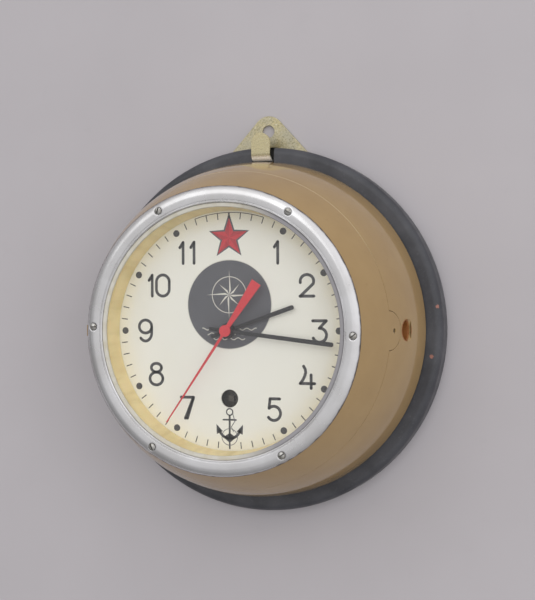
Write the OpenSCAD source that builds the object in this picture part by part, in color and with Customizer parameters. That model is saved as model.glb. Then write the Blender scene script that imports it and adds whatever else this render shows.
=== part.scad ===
// Marine clock: a round wall clock with a hinged, lockable front cover and an eight day key wound movement.
// Every piece is drawn lying on its back, with x to the right, y to 12 o'clock and z away from the wall,
// and stand() then turns it upright, so that the dial looks along -Y and the wall plane is y = 0.

/* [Base ring and hanger] */
// Outside diameter of the black base ring
base_d = 210; // [204:1:220]
// Thickness of the base ring, from the wall to the casing
base_h = 14; // [12:0.5:16]
// Rounding of the base ring's front edge
base_edge_r = 4; // [2:0.5:6]
// Diameter of the opening in the base ring
base_bore_d = 152; // [148:1:156]
// Diameter of the thin cover that closes the back
back_cover_d = 166; // [160:1:172]
// Thickness of the back cover
back_cover_t = 1.2; // [0.8:0.1:2]
// Thickness of the hanger's sheet
hanger_t = 1.5; // [1:0.1:2]
// Height of the hanging hole above the base ring's top
hanger_rise = 10.5; // [9:0.5:14]
// Diameter of the hanging hole
hanger_hole_d = 7.4; // [5:0.1:8]
// Radius of the hanger's rounded top
hanger_top_r = 9; // [8:0.5:11]
// Width of the hanger where it goes behind the base ring
hanger_foot_w = 58; // [54:1:62]
// Width of the hanger's bent tongue
tongue_w = 11.2; // [9:0.2:13]
// Inside radius of the tongue's bend
tongue_bend_r = 3; // [2:0.5:4]
// Height of the tongue's top above the base ring's top
tongue_rise = 8; // [6:0.5:10]

/* [Casing] */
// Outside diameter of the casing at the base ring
casing_rear_d = 192; // [190:0.5:194]
// Outside diameter of the casing at the parting line
casing_mid_d = 173; // [172:0.5:174]
// Distance from the wall to the parting line
parting_h = 61; // [60.6:0.2:61.4]
// Distance from the wall to the seat of the bezel
front_h = 83; // [82.6:0.2:84]
// Thickness of the casing's wall
wall = 3; // [2.6:0.2:3.4]
// Height of the shadow groove at the foot of the casing
foot_groove = 1.3; // [0.5:0.1:1.6]
// Radius of the rounded tab that overlaps the rear casing at 3 o'clock
tab_r = 10.3; // [9.5:0.1:11]
// Gap around the tab and along the parting line
parting_gap = 0.3; // [0.2:0.05:0.4]

/* [Hinge and lock] */
// Distance from the clock's axis to the hinge pin
hinge_x = 85.2; // [85:0.1:85.4]
// Radius of the hinge knuckles
knuckle_r = 1.9; // [1.8:0.1:2]
// Diameter of the hinge pin
hinge_pin_d = 1.8; // [1.5:0.1:2]
// Length of the hinge pin
hinge_len = 18; // [16:1:20]
// Length of the middle knuckle, which belongs to the cover
knuckle_mid = 6; // [5:0.5:8]
// Distance from the parting line back to the middle of the keyhole
lock_drop = 17; // [16:0.5:18]
// Diameter of the keyhole in the casing
keyhole_d = 10.4; // [10:0.2:11]
// Diameter of the lock spindle
spindle_d = 6; // [5:0.2:6.4]
// Reach of the cam from the spindle's axis
cam_r = 11; // [10.5:0.1:11.4]

/* [Bezel and glass] */
// Outside diameter of the bezel
bezel_d = 153.4; // [152:0.2:154]
// Inside diameter of the bezel
bezel_inner_d = 135.6; // [134.8:0.2:136.4]
// Height of the bezel at its crown
bezel_rise = 2.4; // [1.8:0.1:3]
// Diameter of the circle that the bezel screws lie on
bezel_screw_pcd = 145.6; // [145:0.2:146.4]
// Number of bezel screws
bezel_screw_n = 6; // [4:1:8]
// Angle of the first bezel screw, counterclockwise from 3 o'clock
bezel_screw_dir = -1.8; // [-6:0.2:6]
// Diameter of a bezel screw's head
bezel_screw_head_d = 3.8; // [3:0.1:4.4]
// Diameter of a bezel screw's shank
bezel_screw_d = 2; // [1.6:0.1:2.2]
// Diameter of the glass
glass_d = 140; // [139:0.2:140.6]
// Thickness of the glass
glass_t = 2.5; // [2:0.1:2.8]
// Inside diameter of the white glass gasket
gasket_inner_d = 131.2; // [131:0.2:132.6]

/* [Dial and hands] */
// Depth from the bezel's seat down to the printed face of the dial
dial_depth = 14.9; // [14.7:0.1:15.2]
// Thickness of the dial
dial_t = 1; // [0.6:0.1:1.2]
// Diameter of the dial
dial_d = 132.6; // [131:0.2:134]
// Diameter of the dial that shows inside the reflector ring
dial_open_d = 129; // [128:0.2:130]
// Diameter of the winding hole
wind_hole_d = 9.7; // [9:0.1:10.4]
// Distance from the middle of the dial down to the winding hole
wind_y = 36.4; // [36:0.1:37]
// Length of the hour hand
hour_len = 39; // [34:0.5:44]
// Length of the minute hand
minute_len = 59.5; // [54:0.5:61]
// Length of the seconds hand
seconds_len = 60; // [54:0.5:62]
// Length of the seconds hand's tail
tail_len = 31.2; // [26:0.2:34]
// Width of the tail's end
tail_w = 5.8; // [4:0.2:7]
// Width of the hour and minute hands
baton_w = 2.4; // [2:0.1:3]
// Angle of the hour hand, clockwise from 12
hour_angle = 71; // [0:1:359]
// Angle of the minute hand, clockwise from 12
minute_angle = 97; // [0:1:359]
// Angle of the seconds hand, clockwise from 12
seconds_angle = 214.5; // [0:0.5:359.5]

/* [Movement frame] */
// Distance between the two plates
plate_space = 18; // [17.8:0.1:18.2]
// Least distance from the front plate's inner face up to the dial's printed face
dial_lift = 7.5; // [7.4:0.1:7.7]
// Thickness of both plates
plate_t = 2; // [1.6:0.1:2.2]
// How far the front plate reaches past the rear plate, where it lies on the carrier
plate_rim = 5; // [4.8:0.1:5.4]
// How far the plates' middle lies below the dial's
plate_drop = 7.5; // [7:0.1:8]
// Diameter of a pillar
pillar_d = 6; // [5:0.2:7]
// Diameter of the steel carrier plate that holds the movement
carrier_d = 160.4; // [159:0.2:160.6]
// Thickness of the carrier plate
carrier_t = 1.5; // [1:0.1:1.6]

/* [Wheels] */
// Teeth of the barrel
barrel_n = 60; // [60]
// Leaves of the intermediate pinion and of the centre pinion
heavy_pinion_n = 10; // [10]
// Teeth of the intermediate wheel
inter_n = 40; // [40]
// Module of the barrel and the intermediate wheel
heavy_module = 0.66; // [0.65:0.005:0.67]
// Teeth of the centre wheel
centre_n = 64; // [64]
// Leaves of the third and seconds pinions
light_pinion_n = 8; // [8]
// Teeth of the third wheel
third_n = 60; // [60]
// Distance from the centre arbor to the third arbor
third_dist = 15.75; // [15.6:0.05:16]
// Teeth of the seconds wheel
seconds_n = 60; // [60]
// Leaves of the escape pinion
escape_pinion_n = 6; // [6]
// Distance from the centre arbor to the escape arbor
escape_dist = 13.2; // [13.1:0.05:13.4]
// Teeth of the escape wheel
escape_n = 15; // [15]
// Diameter of the escape wheel
escape_d = 11; // [10.6:0.1:11.2]
// Leaves of the cannon pinion and the minute pinion
motion_pinion_n = 8; // [8]
// Teeth of the minute wheel
minute_n = 24; // [24]
// Teeth of the hour wheel
hour_n = 32; // [32]
// Distance from the centre arbor to the minute wheel's stud
motion_dist = 12; // [11.8:0.1:12.2]
// Thickness of the light wheels
wheel_t = 1; // [0.8:0.1:1.1]

/* [Barrel and winding] */
// Diameter of the barrel's drum
drum_d = 35; // [34:0.5:36]
// Length of the barrel, with its teeth
drum_len = 11.9; // [11:0.1:12]
// Diameter of the winding arbor
wind_arbor_d = 6; // [5:0.1:6.4]
// Turns of the mainspring
mainspring_turns = 7; // [5:1:8]
// Thickness of the mainspring
mainspring_t = 0.5; // [0.3:0.05:0.6]
// Teeth of the ratchet wheel
ratchet_n = 24; // [24]
// Diameter of the ratchet wheel
ratchet_d = 19; // [18:0.5:20]

/* [Escapement] */
// Distance from the escape arbor to the pallet arbor
pallet_dist = 8.2; // [8.1:0.05:8.4]
// Distance from the pallet arbor to the balance staff
balance_dist = 10.3; // [10.2:0.05:10.6]
// Diameter of the balance wheel
balance_d = 16.4; // [15:0.2:17]
// Turns of the hairspring
hairspring_turns = 6; // [4:1:7]
// Thickness of the hairspring
hairspring_t = 0.15; // [0.1:0.01:0.2]

/* [Hidden] */
$fn = 96;

// Heights that follow from the casing; the carrier's front face stays behind the parting line
carrier_sink = 0.4;
dial_h = front_h - dial_depth;
plate_high = min(dial_h - dial_lift, parting_h - carrier_sink);
plate_low = plate_high - plate_space;
lock_h = parting_h - lock_drop;
hanger_hole_y = base_d / 2 + hanger_rise;
tongue_top_y = base_d / 2 + tongue_rise;

// The plates fill the room inside the ring under the dial
support_w = 3.2;
plate_gap = 1.1;
front_plate_r = dial_d / 2 - support_w - plate_drop - plate_gap;
rear_plate_r = front_plate_r - plate_rim;
pillar_ring = rear_plate_r - pillar_d / 2 - 1;

tan_plastic = "#a38a64";
black_plastic = "#3c3d42";
plated_steel = "#b9b48c";
steel = "#9aa0a6";
brass = "#c9a24f";
chrome = "#d4d6da";

eps = 0.01;
fit = 0.05;
seat_gap = 0.3;

// Places on the plates
plate_mid = [0, -plate_drop];
barrel_pos = [0, -wind_y];
barrel_inter_dist = heavy_module * (barrel_n + heavy_pinion_n) / 2;
inter_centre_dist = heavy_module * (inter_n + heavy_pinion_n) / 2;
inter_y = -(inter_centre_dist ^ 2 + wind_y ^ 2 - barrel_inter_dist ^ 2) / (2 * wind_y);
inter_pos = [sqrt(inter_centre_dist ^ 2 - inter_y ^ 2), inter_y];
third_dir = 150;
escape_dir = 60;
motion_dir = 20;
third_pos = polar(third_dist, third_dir);
escape_pos = polar(escape_dist, escape_dir);
pallet_pos = polar(escape_dist + pallet_dist, escape_dir);
balance_pos = polar(escape_dist + pallet_dist + balance_dist, escape_dir);
minute_pos = polar(motion_dist, motion_dir);
pillar_dirs = [30, 150, 210, 330];

// Modules that follow from the distances
centre_module = 2 * third_dist / (centre_n + light_pinion_n);
third_module = 2 * third_dist / (third_n + light_pinion_n);
seconds_module = 2 * escape_dist / (seconds_n + escape_pinion_n);
minute_module = 2 * motion_dist / (minute_n + motion_pinion_n);
hour_module = 2 * motion_dist / (hour_n + motion_pinion_n);

// Levels between the plates, measured up from the rear plate
level_barrel = plate_low + 2.9;
level_barrel_teeth = 2;
level_inter = plate_high - 2.2;
level_centre = plate_high - 5;
level_third = plate_low + 8.4;
level_seconds = plate_low + 5.6;
level_escape = plate_low + 3;
level_balance = plate_low + 5.2;
level_bridge = plate_low + 10.2;
bridge_t = 1.5;
level_motion = plate_high + plate_t + 0.4;
pivot_r = 0.5;
arbor_r = 0.9;
light_arbor_r = 0.6;

// The column of hollow arbors at the middle of the dial
seconds_arbor_r = 0.7;
tube_inner_r = 0.8;
tube_outer_r = 1.5;
cannon_inner_r = 1.55;
cannon_outer_r = 2.2;
hour_inner_r = 2.3;
hour_outer_r = 3;
hand_t = 0.5;
hour_hand_h = dial_h + 2.1;
minute_hand_h = dial_h + 4.2;
seconds_hand_h = dial_h + 6.2;

// The casing's outline is one arc through its foot, its parting line and its front edge
foot_pt = [casing_rear_d / 2, base_h];
mid_pt = [casing_mid_d / 2, parting_h];
front_pt = [bezel_d / 2, front_h];
arc_c = arc_centre(foot_pt, mid_pt, front_pt);
arc_r = norm(foot_pt - arc_c);

// Seats inside the casing
ledge_top = plate_high - carrier_t;
ledge_t = 3;
ledge_inner_r = 74;
flange_top = base_h + 3;
flange_inner_r = 80;
foot_setback = 2.2;
// no part of the casing's skin reaches further in than core_r
core_r = 50;
glass_low = front_h - 0.1 - glass_t;
cover_ledge_t = 2.4;
reflector_t = 1.2;
reflector_top_r = gasket_inner_d / 2 + 0.5;
reflector_flange_r = glass_d / 2 + 2;
cover_ledge_r = reflector_top_r + reflector_t + seat_gap;
lip_depth = 1.2;
bezel_screw_seat = 1.5;
lip_outer_r = casing_mid_d / 2 - wall - parting_gap;
lip_t = 2.6;
hinge_h = parting_h;
hinge_relief = knuckle_r + 0.3;
relief_half = sqrt(casing_mid_d ^ 2 / 4 - hinge_x ^ 2) + 0.5;
boss_x = 84;
boss_r = 8;
flange_t = 2;
cam_x = 78.4;
cam_t = 2;
strike_x = 81.4;
hook_rivet_r = 1.2;
hook_rivet_drop = 4;
// cuts through the casing's side start at side_x and are side_len long
side_x = 70;
side_len = 40;
finger_r = 9;

// Screws and rivets
screw_head_h = 1.2;
base_screw_r = 1.5;
base_screw_head_r = 3;
base_screw_ring = 87;
base_screw_dirs = [45, 135, 225, 315];
base_screw_low = back_cover_t + screw_head_h + 1;
base_screw_len = flange_top - base_screw_low - 0.1;
back_screw_r = 1;
back_screw_ring = 79.5;
back_screw_dirs = [0, 60, 120, 180, 240, 300];
carrier_screw_ring = 77;
carrier_screw_len = 6;
carrier_screw_dirs = [90, 210, 330];
plate_screw_ring = (front_plate_r + rear_plate_r + 1) / 2;
plate_screw_dirs = [45, 135, 205, 335];
rivet_r = 1.6;
rivet_x = 15;
hanger_foot_y = back_cover_d / 2 + 1;
hanger_rivet_y = hanger_foot_y + 6.5;
tongue_y = casing_rear_d / 2 + 0.6;
notch_relief = 1.8;

function polar(r, a) = [r * cos(a), r * sin(a)];

// Middle of the circle through three points
function arc_centre(a, b, c) =
    let (
        d = 2 * (a.x * (b.y - c.y) + b.x * (c.y - a.y) + c.x * (a.y - b.y)),
        sa = a * a,
        sb = b * b,
        sc = c * c
    )
    [
        (sa * (b.y - c.y) + sb * (c.y - a.y) + sc * (a.y - b.y)) / d,
        (sa * (c.x - b.x) + sb * (a.x - c.x) + sc * (b.x - a.x)) / d
    ];

// Radius of the casing's outside at height h
function casing_r(h) = arc_c.x + sqrt(arc_r ^ 2 - (h - arc_c.y) ^ 2);

// Points of a wheel: one straight sided tooth after another, tooth 0 on the x axis
function gear_points(n, m) =
    let (
        r = m * n / 2,
        root = r - 1.2 * m,
        tip = r + 0.8 * m,
        pitch = 360 / n
    )
    [
        for (i = [0 : n - 1])
            each [
                polar(root, (i - 0.25) * pitch),
                polar(tip, (i - 0.075) * pitch),
                polar(tip, (i + 0.075) * pitch),
                polar(root, (i + 0.25) * pitch)
            ]
    ];

// Points of a flat spiral band from radius r0 to r1
function spiral_points(r0, r1, turns, t, steps = 20) =
    let (n = turns * steps)
    concat(
        [for (i = [0 : n]) polar(r0 + (r1 - r0) * i / n, 360 * i / steps)],
        [for (i = [n : -1 : 0]) polar(r0 + t + (r1 - r0) * i / n, 360 * i / steps)]
    );

// Turns a piece that was drawn on its back to its place on the wall
module stand() {
    rotate([90, 0, 0]) children();
}

module at(p, h = 0) {
    translate([p.x, p.y, h]) children();
}

module disc(r, t) {
    cylinder(r = r, h = t);
}

module tube(r_out, r_in, t) {
    difference() {
        cylinder(r = r_out, h = t);
        translate([0, 0, -1]) cylinder(r = r_in, h = t + 2);
    }
}

module gear(n, m, t) {
    linear_extrude(t) polygon(gear_points(n, m));
}

// A toothed wheel with a round rim and spokes
module spoked_gear(n, m, t, hub_r, spokes, spoke_w, rim) {
    inner = m * n / 2 - 1.2 * m - rim;
    difference() {
        gear(n, m, t);
        translate([0, 0, -1]) cylinder(r = inner, h = t + 2);
    }
    disc(hub_r, t);
    for (i = [0 : spokes - 1])
        rotate([0, 0, i * 360 / spokes])
            translate([0, -spoke_w / 2, 0]) cube([inner + rim / 2, spoke_w, t]);
}

// A cheese head screw with a slot, head up, with its head resting on z = 0
module slotted_screw(head_r, shank_r, shank_len, head_h = screw_head_h) {
    translate([0, 0, -shank_len]) disc(shank_r, shank_len + eps);
    difference() {
        disc(head_r, head_h);
        translate([-head_r - 1, -head_r / 8, head_h * 0.55]) cube([2 * head_r + 2, head_r / 4, head_h]);
    }
}

// The casing's skin between two heights, as a ring of the given wall
module casing_shell(low, high) {
    rotate_extrude($fn = 180) intersection() {
        difference() {
            translate(arc_c) circle(r = arc_r);
            translate(arc_c) circle(r = arc_r - wall);
        }
        translate([core_r, low]) square([base_d - core_r, high - low]);
    }
}

// The room inside the casing's skin, less an inset, filled between two heights
module casing_fill(inset, low, high) {
    rotate_extrude($fn = 180) intersection() {
        translate(arc_c) circle(r = arc_r - inset);
        translate([core_r, low]) square([base_d - core_r, high - low]);
    }
}

module base_ring() {
    outer = base_d / 2;
    edge = outer - base_edge_r;
    color(black_plastic) stand() difference() {
        rotate_extrude($fn = 180) {
            translate([base_bore_d / 2, 0]) square([edge - base_bore_d / 2, base_h]);
            translate([edge - eps, 0]) square([base_edge_r + eps, base_h - base_edge_r]);
            intersection() {
                translate([edge, base_h - base_edge_r]) circle(r = base_edge_r);
                translate([edge - eps, base_h - base_edge_r - eps]) square(base_edge_r + 1);
            }
        }
        translate([0, 0, -1]) disc(back_cover_d / 2 + seat_gap, back_cover_t + 1);
        // recess for the hanger's foot
        translate([0, 0, -1]) linear_extrude(hanger_t + 1) hanger_outline(seat_gap);
        // notch for the tongue, open at the rim, with a shallow relief on its right
        translate([-tongue_w / 2 - 0.2, tongue_y - 1, -1]) cube([tongue_w + 0.4, outer, base_h + 2]);
        translate([0, tongue_y - 1, base_h - 5]) cube([tongue_w / 2 + notch_relief, outer, 6]);
        for (x = [-rivet_x, rivet_x])
            translate([x, hanger_rivet_y, -1]) cylinder(r = rivet_r + fit, h = base_h + 2);
        for (a = base_screw_dirs)
            rotate([0, 0, a]) translate([base_screw_ring, 0, -1]) {
                cylinder(r = base_screw_r + fit, h = base_h + 2);
                cylinder(r = base_screw_head_r + 0.2, h = base_screw_low + 1);
            }
        for (a = back_screw_dirs)
            rotate([0, 0, a]) translate([back_screw_ring, 0, -1]) cylinder(r = back_screw_r + fit, h = 8);
    }
}

module back_cover() {
    color(black_plastic) stand() difference() {
        disc(back_cover_d / 2, back_cover_t);
        for (a = back_screw_dirs)
            rotate([0, 0, a]) translate([back_screw_ring, 0, -1]) {
                cylinder(r = back_screw_r + 2 * fit, h = back_cover_t + 2);
                cylinder(r1 = back_screw_r + 2.1, r2 = back_screw_r, h = 2.1);
            }
    }
}

module back_cover_screws() {
    color(steel) stand() for (a = back_screw_dirs)
        rotate([0, 0, a]) translate([back_screw_ring, 0, 0.15]) {
            difference() {
                cylinder(r1 = back_screw_r + 0.9, r2 = back_screw_r, h = 0.95);
                translate([-3, -0.25, -1]) cube([6, 0.5, 1.4]);
            }
            disc(back_screw_r, 5.5);
        }
}

// Outline of the hanger's flat part; grow widens it for the recess
module hanger_outline(grow = 0) {
    half = hanger_foot_w / 2 + grow;
    low = hanger_foot_y - grow;
    top_r = hanger_top_r + grow;
    foot_top = base_d / 2 - 8;
    // tangent from the foot's shoulder to the rounded top
    gap = [half, hanger_hole_y - foot_top];
    reach = norm(gap);
    swing = acos(top_r / reach);
    lean = atan2(foot_top - hanger_hole_y, half);
    touch = [top_r * cos(lean + swing), hanger_hole_y + top_r * sin(lean + swing)];
    polygon([
        [-half, low], [half, low], [half, foot_top], touch,
        [0, hanger_hole_y], [-touch.x, touch.y], [-half, foot_top]
    ]);
    translate([0, hanger_hole_y]) circle(r = top_r);
}

module hanger_plate() {
    back = base_h + 0.7;
    bend_y = tongue_y + hanger_t + tongue_bend_r;
    bend_h = back - tongue_bend_r;
    color(plated_steel) stand() {
        difference() {
            linear_extrude(hanger_t) hanger_outline();
            translate([0, hanger_hole_y, -1]) cylinder(r = hanger_hole_d / 2, h = hanger_t + 2);
            for (x = [-rivet_x, rivet_x])
                translate([x, hanger_rivet_y, -1]) cylinder(r = rivet_r + fit, h = hanger_t + 2);
            // window that the tongue was bent out of
            translate([-tongue_w / 2, tongue_y + hanger_t, -1]) cube([tongue_w, 8, hanger_t + 2]);
        }
        intersection() {
            union() {
                translate([-tongue_w / 2, tongue_y, eps]) cube([tongue_w, hanger_t, bend_h - eps]);
                translate([-tongue_w / 2, bend_y, bend_h]) rotate([0, 90, 0]) intersection() {
                    tube(tongue_bend_r + hanger_t, tongue_bend_r, tongue_w);
                    translate([-20, -20, -1]) cube([20, 20, tongue_w + 2]);
                }
                translate([-tongue_w / 2, bend_y, back])
                    cube([tongue_w, tongue_top_y - bend_y, hanger_t]);
            }
            union() {
                translate([-tongue_w / 2, tongue_y - 1, 0])
                    cube([tongue_w, tongue_top_y - tongue_w / 2 - tongue_y + 1, 30]);
                translate([0, tongue_top_y - tongue_w / 2, 0]) cylinder(r = tongue_w / 2, h = 30);
            }
        }
    }
}

module hanger_rivets() {
    color(steel) stand() for (x = [-rivet_x, rivet_x])
        translate([x, hanger_rivet_y, 0.2]) disc(rivet_r, base_h - 0.4);
}

// Knuckles of the hinge that lie between y = from and y = to
module knuckle(from, to) {
    translate([-hinge_x, from, hinge_h]) rotate([-90, 0, 0]) difference() {
        cylinder(r = knuckle_r, h = to - from);
        translate([0, 0, -1]) cylinder(r = hinge_pin_d / 2 + fit, h = to - from + 2);
    }
}

// Room for the other half's knuckles
module knuckle_room(from, to) {
    translate([-hinge_x, from, hinge_h]) rotate([-90, 0, 0]) cylinder(r = hinge_relief, h = to - from);
}

module rear_casing() {
    half = hinge_len / 2;
    mid = knuckle_mid / 2;
    top = parting_h - parting_gap / 2;
    color(tan_plastic) stand() {
        difference() {
            union() {
                casing_shell(base_h + foot_groove, top);
                // foot that stands on the base ring, set back to leave a shadow groove
                rotate_extrude($fn = 180)
                    translate([flange_inner_r, base_h])
                        square([casing_rear_d / 2 - foot_setback - flange_inner_r, flange_top - base_h]);
                // ledge for the movement carrier
                rotate_extrude($fn = 180)
                    polygon([
                        [ledge_inner_r, ledge_top - ledge_t], [ledge_inner_r, ledge_top],
                        [casing_r(ledge_top) - wall + 0.6, ledge_top],
                        [casing_r(ledge_top - 9) - wall + 0.6, ledge_top - 9]
                    ]);
                // boss behind the keyhole
                intersection() {
                    translate([boss_x, 0, lock_h]) rotate([0, 90, 0]) cylinder(r = boss_r, h = 8);
                    casing_fill(1, base_h, top);
                }
            }
            // keyhole with its countersink
            translate([side_x, 0, lock_h]) rotate([0, 90, 0]) cylinder(r = keyhole_d / 2, h = side_len);
            translate([casing_r(lock_h) - 0.9, 0, lock_h]) rotate([0, 90, 0])
                cylinder(r1 = keyhole_d / 2, r2 = keyhole_d / 2 + 2, h = 2);
            // room for the lock inside the ledge
            translate([ledge_inner_r - 2, -boss_r - 6, lock_h - boss_r - 6])
                cube([boss_x - ledge_inner_r + 2, 2 * boss_r + 12, 40]);
            // notch for the cover's tab
            translate([side_x, 0, parting_h]) rotate([0, 90, 0])
                cylinder(r = tab_r + parting_gap, h = side_len);
            // clear the hinge
            knuckle_room(-half - 0.3, half + 0.3);
            translate([-hinge_x - 8, -relief_half, hinge_h - 0.3]) cube([8 + 2, 2 * relief_half, 6]);
            for (a = base_screw_dirs)
                rotate([0, 0, a]) translate([base_screw_ring, 0, base_h - 1])
                    cylinder(r = base_screw_r + fit, h = 6);
            for (a = carrier_screw_dirs)
                rotate([0, 0, a]) translate([carrier_screw_ring, 0, ledge_top - carrier_screw_len - 2])
                    cylinder(r = 1 + fit, h = 12);
        }
        difference() {
            union() {
                knuckle(-half, -mid - 0.15);
                knuckle(mid + 0.15, half);
                // webs that carry the outer knuckles
                for (y0 = [-half, mid + 0.15])
                    intersection() {
                        translate([-hinge_x - 2, y0, hinge_h - 9]) cube([6, half - mid - 0.15, 9]);
                        casing_fill(0, hinge_h - 10, hinge_h + 1);
                    }
            }
            translate([-hinge_x, -half - 1, hinge_h]) rotate([-90, 0, 0])
                cylinder(r = hinge_pin_d / 2 + fit, h = hinge_len + 2);
            // keep the webs below the pin's middle
            translate([-hinge_x + 2.2, -half - 1, hinge_h - 3]) cube([8, hinge_len + 2, 9]);
        }
    }
}

module casing_screws() {
    color(steel) stand() for (a = base_screw_dirs)
        rotate([0, 0, a]) translate([base_screw_ring, 0, base_screw_low])
            rotate([180, 0, 0]) slotted_screw(base_screw_head_r, base_screw_r, base_screw_len);
}

module hinge_pin() {
    color(steel) stand() translate([-hinge_x, -hinge_len / 2, hinge_h]) rotate([-90, 0, 0])
        cylinder(r = hinge_pin_d / 2, h = hinge_len);
}

module lock_bush() {
    color(brass) stand() translate([boss_x - flange_t, 0, lock_h]) rotate([0, 90, 0]) difference() {
        union() {
            disc(boss_r, flange_t - fit);
            disc(keyhole_d / 2 - 0.1, flange_t + 1);
        }
        translate([0, 0, -1]) cylinder(r = spindle_d / 2 + fit, h = 12);
    }
}

module lock_spindle() {
    square_w = 3.6;
    color(steel) stand() translate([cam_x - 1.6, 0, lock_h]) rotate([0, 90, 0]) {
        translate([-square_w / 2, -square_w / 2, 0]) cube([square_w, square_w, cam_t + 2]);
        translate([0, 0, cam_t + 1.6 + eps]) disc(spindle_d / 2, 4.8);
        translate([-square_w / 2, -square_w / 2, cam_t + 6]) cube([square_w, square_w, 2.6]);
    }
}

// The cam hangs down when the lock is open; its finger runs ahead of the arm
module lock_cam() {
    arm_w = 4.4;
    square_w = 3.7;
    finger_deg = 34;
    color(steel) stand() translate([cam_x, 0, lock_h]) rotate([0, 90, 0]) rotate([0, 0, -90])
        linear_extrude(cam_t) difference() {
            union() {
                circle(r = 4.6);
                translate([0, -arm_w / 2]) square([finger_r + 0.6, arm_w]);
                intersection() {
                    difference() {
                        circle(r = cam_r);
                        circle(r = finger_r);
                    }
                    polygon([
                        [0, 0], polar(20, 12), polar(20, 0), polar(20, -finger_deg / 2),
                        polar(20, -finger_deg)
                    ]);
                }
            }
            square(square_w, center = true);
        }
}

module front_casing() {
    half = hinge_len / 2;
    mid = knuckle_mid / 2;
    low = parting_h + parting_gap / 2;
    ledge_low = glass_low - cover_ledge_t;
    color(tan_plastic) stand() {
        difference() {
            union() {
                casing_shell(low, front_h);
                // front flange with the pocket for the glass
                rotate_extrude($fn = 180) polygon([
                    [cover_ledge_r, ledge_low], [casing_r(ledge_low) - 1, ledge_low],
                    [casing_r(front_h) - 0.6, front_h], [glass_d / 2 + seat_gap, front_h],
                    [glass_d / 2 + seat_gap, glass_low], [cover_ledge_r, glass_low]
                ]);
                // lip that keeps dust out of the joint
                difference() {
                    rotate_extrude($fn = 180) intersection() {
                        translate([lip_outer_r - lip_t, parting_h - lip_depth])
                            square([lip_t, lip_depth + 4]);
                        translate(arc_c) circle(r = arc_r - 1);
                    }
                    translate([-side_x - side_len, -relief_half - 4, parting_h - 5])
                        cube([side_len, 2 * relief_half + 8, 5 + parting_gap / 2]);
                    translate([side_x, -tab_r - 3, parting_h - 5])
                        cube([side_len, 2 * tab_r + 6, 5 + parting_gap / 2]);
                }
                // tab at 3 o'clock, part of the same skin
                intersection() {
                    casing_shell(parting_h - tab_r - 1, parting_h + 1);
                    translate([side_x, 0, parting_h]) rotate([0, 90, 0]) cylinder(r = tab_r, h = side_len);
                }
            }
            knuckle_room(-half - 0.3, half + 0.3);
            translate([-hinge_x - 8, -relief_half, hinge_h - 2]) cube([8, 2 * relief_half, 12]);
            translate([side_x, 0, parting_h - hook_rivet_drop]) rotate([0, 90, 0])
                cylinder(r = hook_rivet_r + fit, h = side_len);
            for (i = [0 : bezel_screw_n - 1])
                rotate([0, 0, bezel_screw_dir + i * 360 / bezel_screw_n])
                    translate([bezel_screw_pcd / 2, 0, front_h - 4.5])
                        cylinder(r = bezel_screw_d / 2 + fit, h = 6);
        }
        // middle knuckle and the web that carries it
        difference() {
            union() {
                knuckle(-mid, mid);
                translate([-hinge_x, -mid, hinge_h + 0.2]) cube([4.5, 2 * mid, 6.5]);
            }
            translate([-hinge_x, -mid - 1, hinge_h]) rotate([-90, 0, 0])
                cylinder(r = hinge_pin_d / 2 + fit, h = 2 * mid + 2);
        }
    }
}

module bezel() {
    outer = bezel_d / 2;
    inner = bezel_inner_d / 2;
    seat = glass_d / 2 + seat_gap;
    under = front_h + 0.5;
    top = front_h + bezel_rise;
    color(chrome) stand() difference() {
        rotate_extrude($fn = 180) polygon([
            [seat, front_h], [outer, front_h], [outer, front_h + 0.9],
            [outer - 0.9, front_h + 1.7], [outer - 2.4, top - 0.2], [outer - 4, top],
            [inner + 1.6, top - 0.35], [inner + 1.5, top - 0.9], [inner + 1.1, top - 0.9],
            [inner + 0.8, top - 0.3], [inner + 0.5, top - 0.3], [inner, top - 0.9],
            [inner, under], [seat, under]
        ]);
        for (i = [0 : bezel_screw_n - 1])
            rotate([0, 0, bezel_screw_dir + i * 360 / bezel_screw_n]) translate([bezel_screw_pcd / 2, 0, 0]) {
                translate([0, 0, front_h - 1]) cylinder(r = bezel_screw_d / 2 + 0.1, h = 6);
                translate([0, 0, front_h + bezel_screw_seat]) cylinder(r = bezel_screw_head_d / 2 + 0.1, h = 5);
            }
    }
}

module bezel_screws() {
    head_r = bezel_screw_head_d / 2;
    slot_w = 0.7;
    dome_r = 3.05;
    color(steel) stand() for (i = [0 : bezel_screw_n - 1])
        rotate([0, 0, bezel_screw_dir + i * 360 / bezel_screw_n])
            translate([bezel_screw_pcd / 2, 0, front_h + bezel_screw_seat]) rotate([0, 0, 45 + 47 * i])
                difference() {
                    union() {
                        translate([0, 0, -5]) disc(bezel_screw_d / 2, 5 + eps);
                        disc(head_r, 1);
                        intersection() {
                            translate([0, 0, 1 - 2.4]) sphere(r = dome_r);
                            translate([0, 0, 1 - eps]) disc(head_r, 2);
                        }
                    }
                    translate([-3, -slot_w / 2, 0.7]) cube([6, slot_w, 3]);
                }
}

module glass() {
    color("#e8eef0", 0.3) stand() translate([0, 0, glass_low]) disc(glass_d / 2, glass_t);
}

module glass_gasket() {
    seat = glass_low + glass_t;
    color("#dcd8d0") stand() rotate_extrude($fn = 180) polygon([
        [gasket_inner_d / 2, seat], [glass_d / 2 - 0.2, seat], [glass_d / 2 - 0.2, front_h + 0.5],
        [bezel_inner_d / 2 - 0.1, front_h + 0.5], [bezel_inner_d / 2 - 0.2, front_h + 1.3],
        [gasket_inner_d / 2 + 0.3, front_h + 1.1], [gasket_inner_d / 2, front_h + 0.8]
    ]);
}

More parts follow.
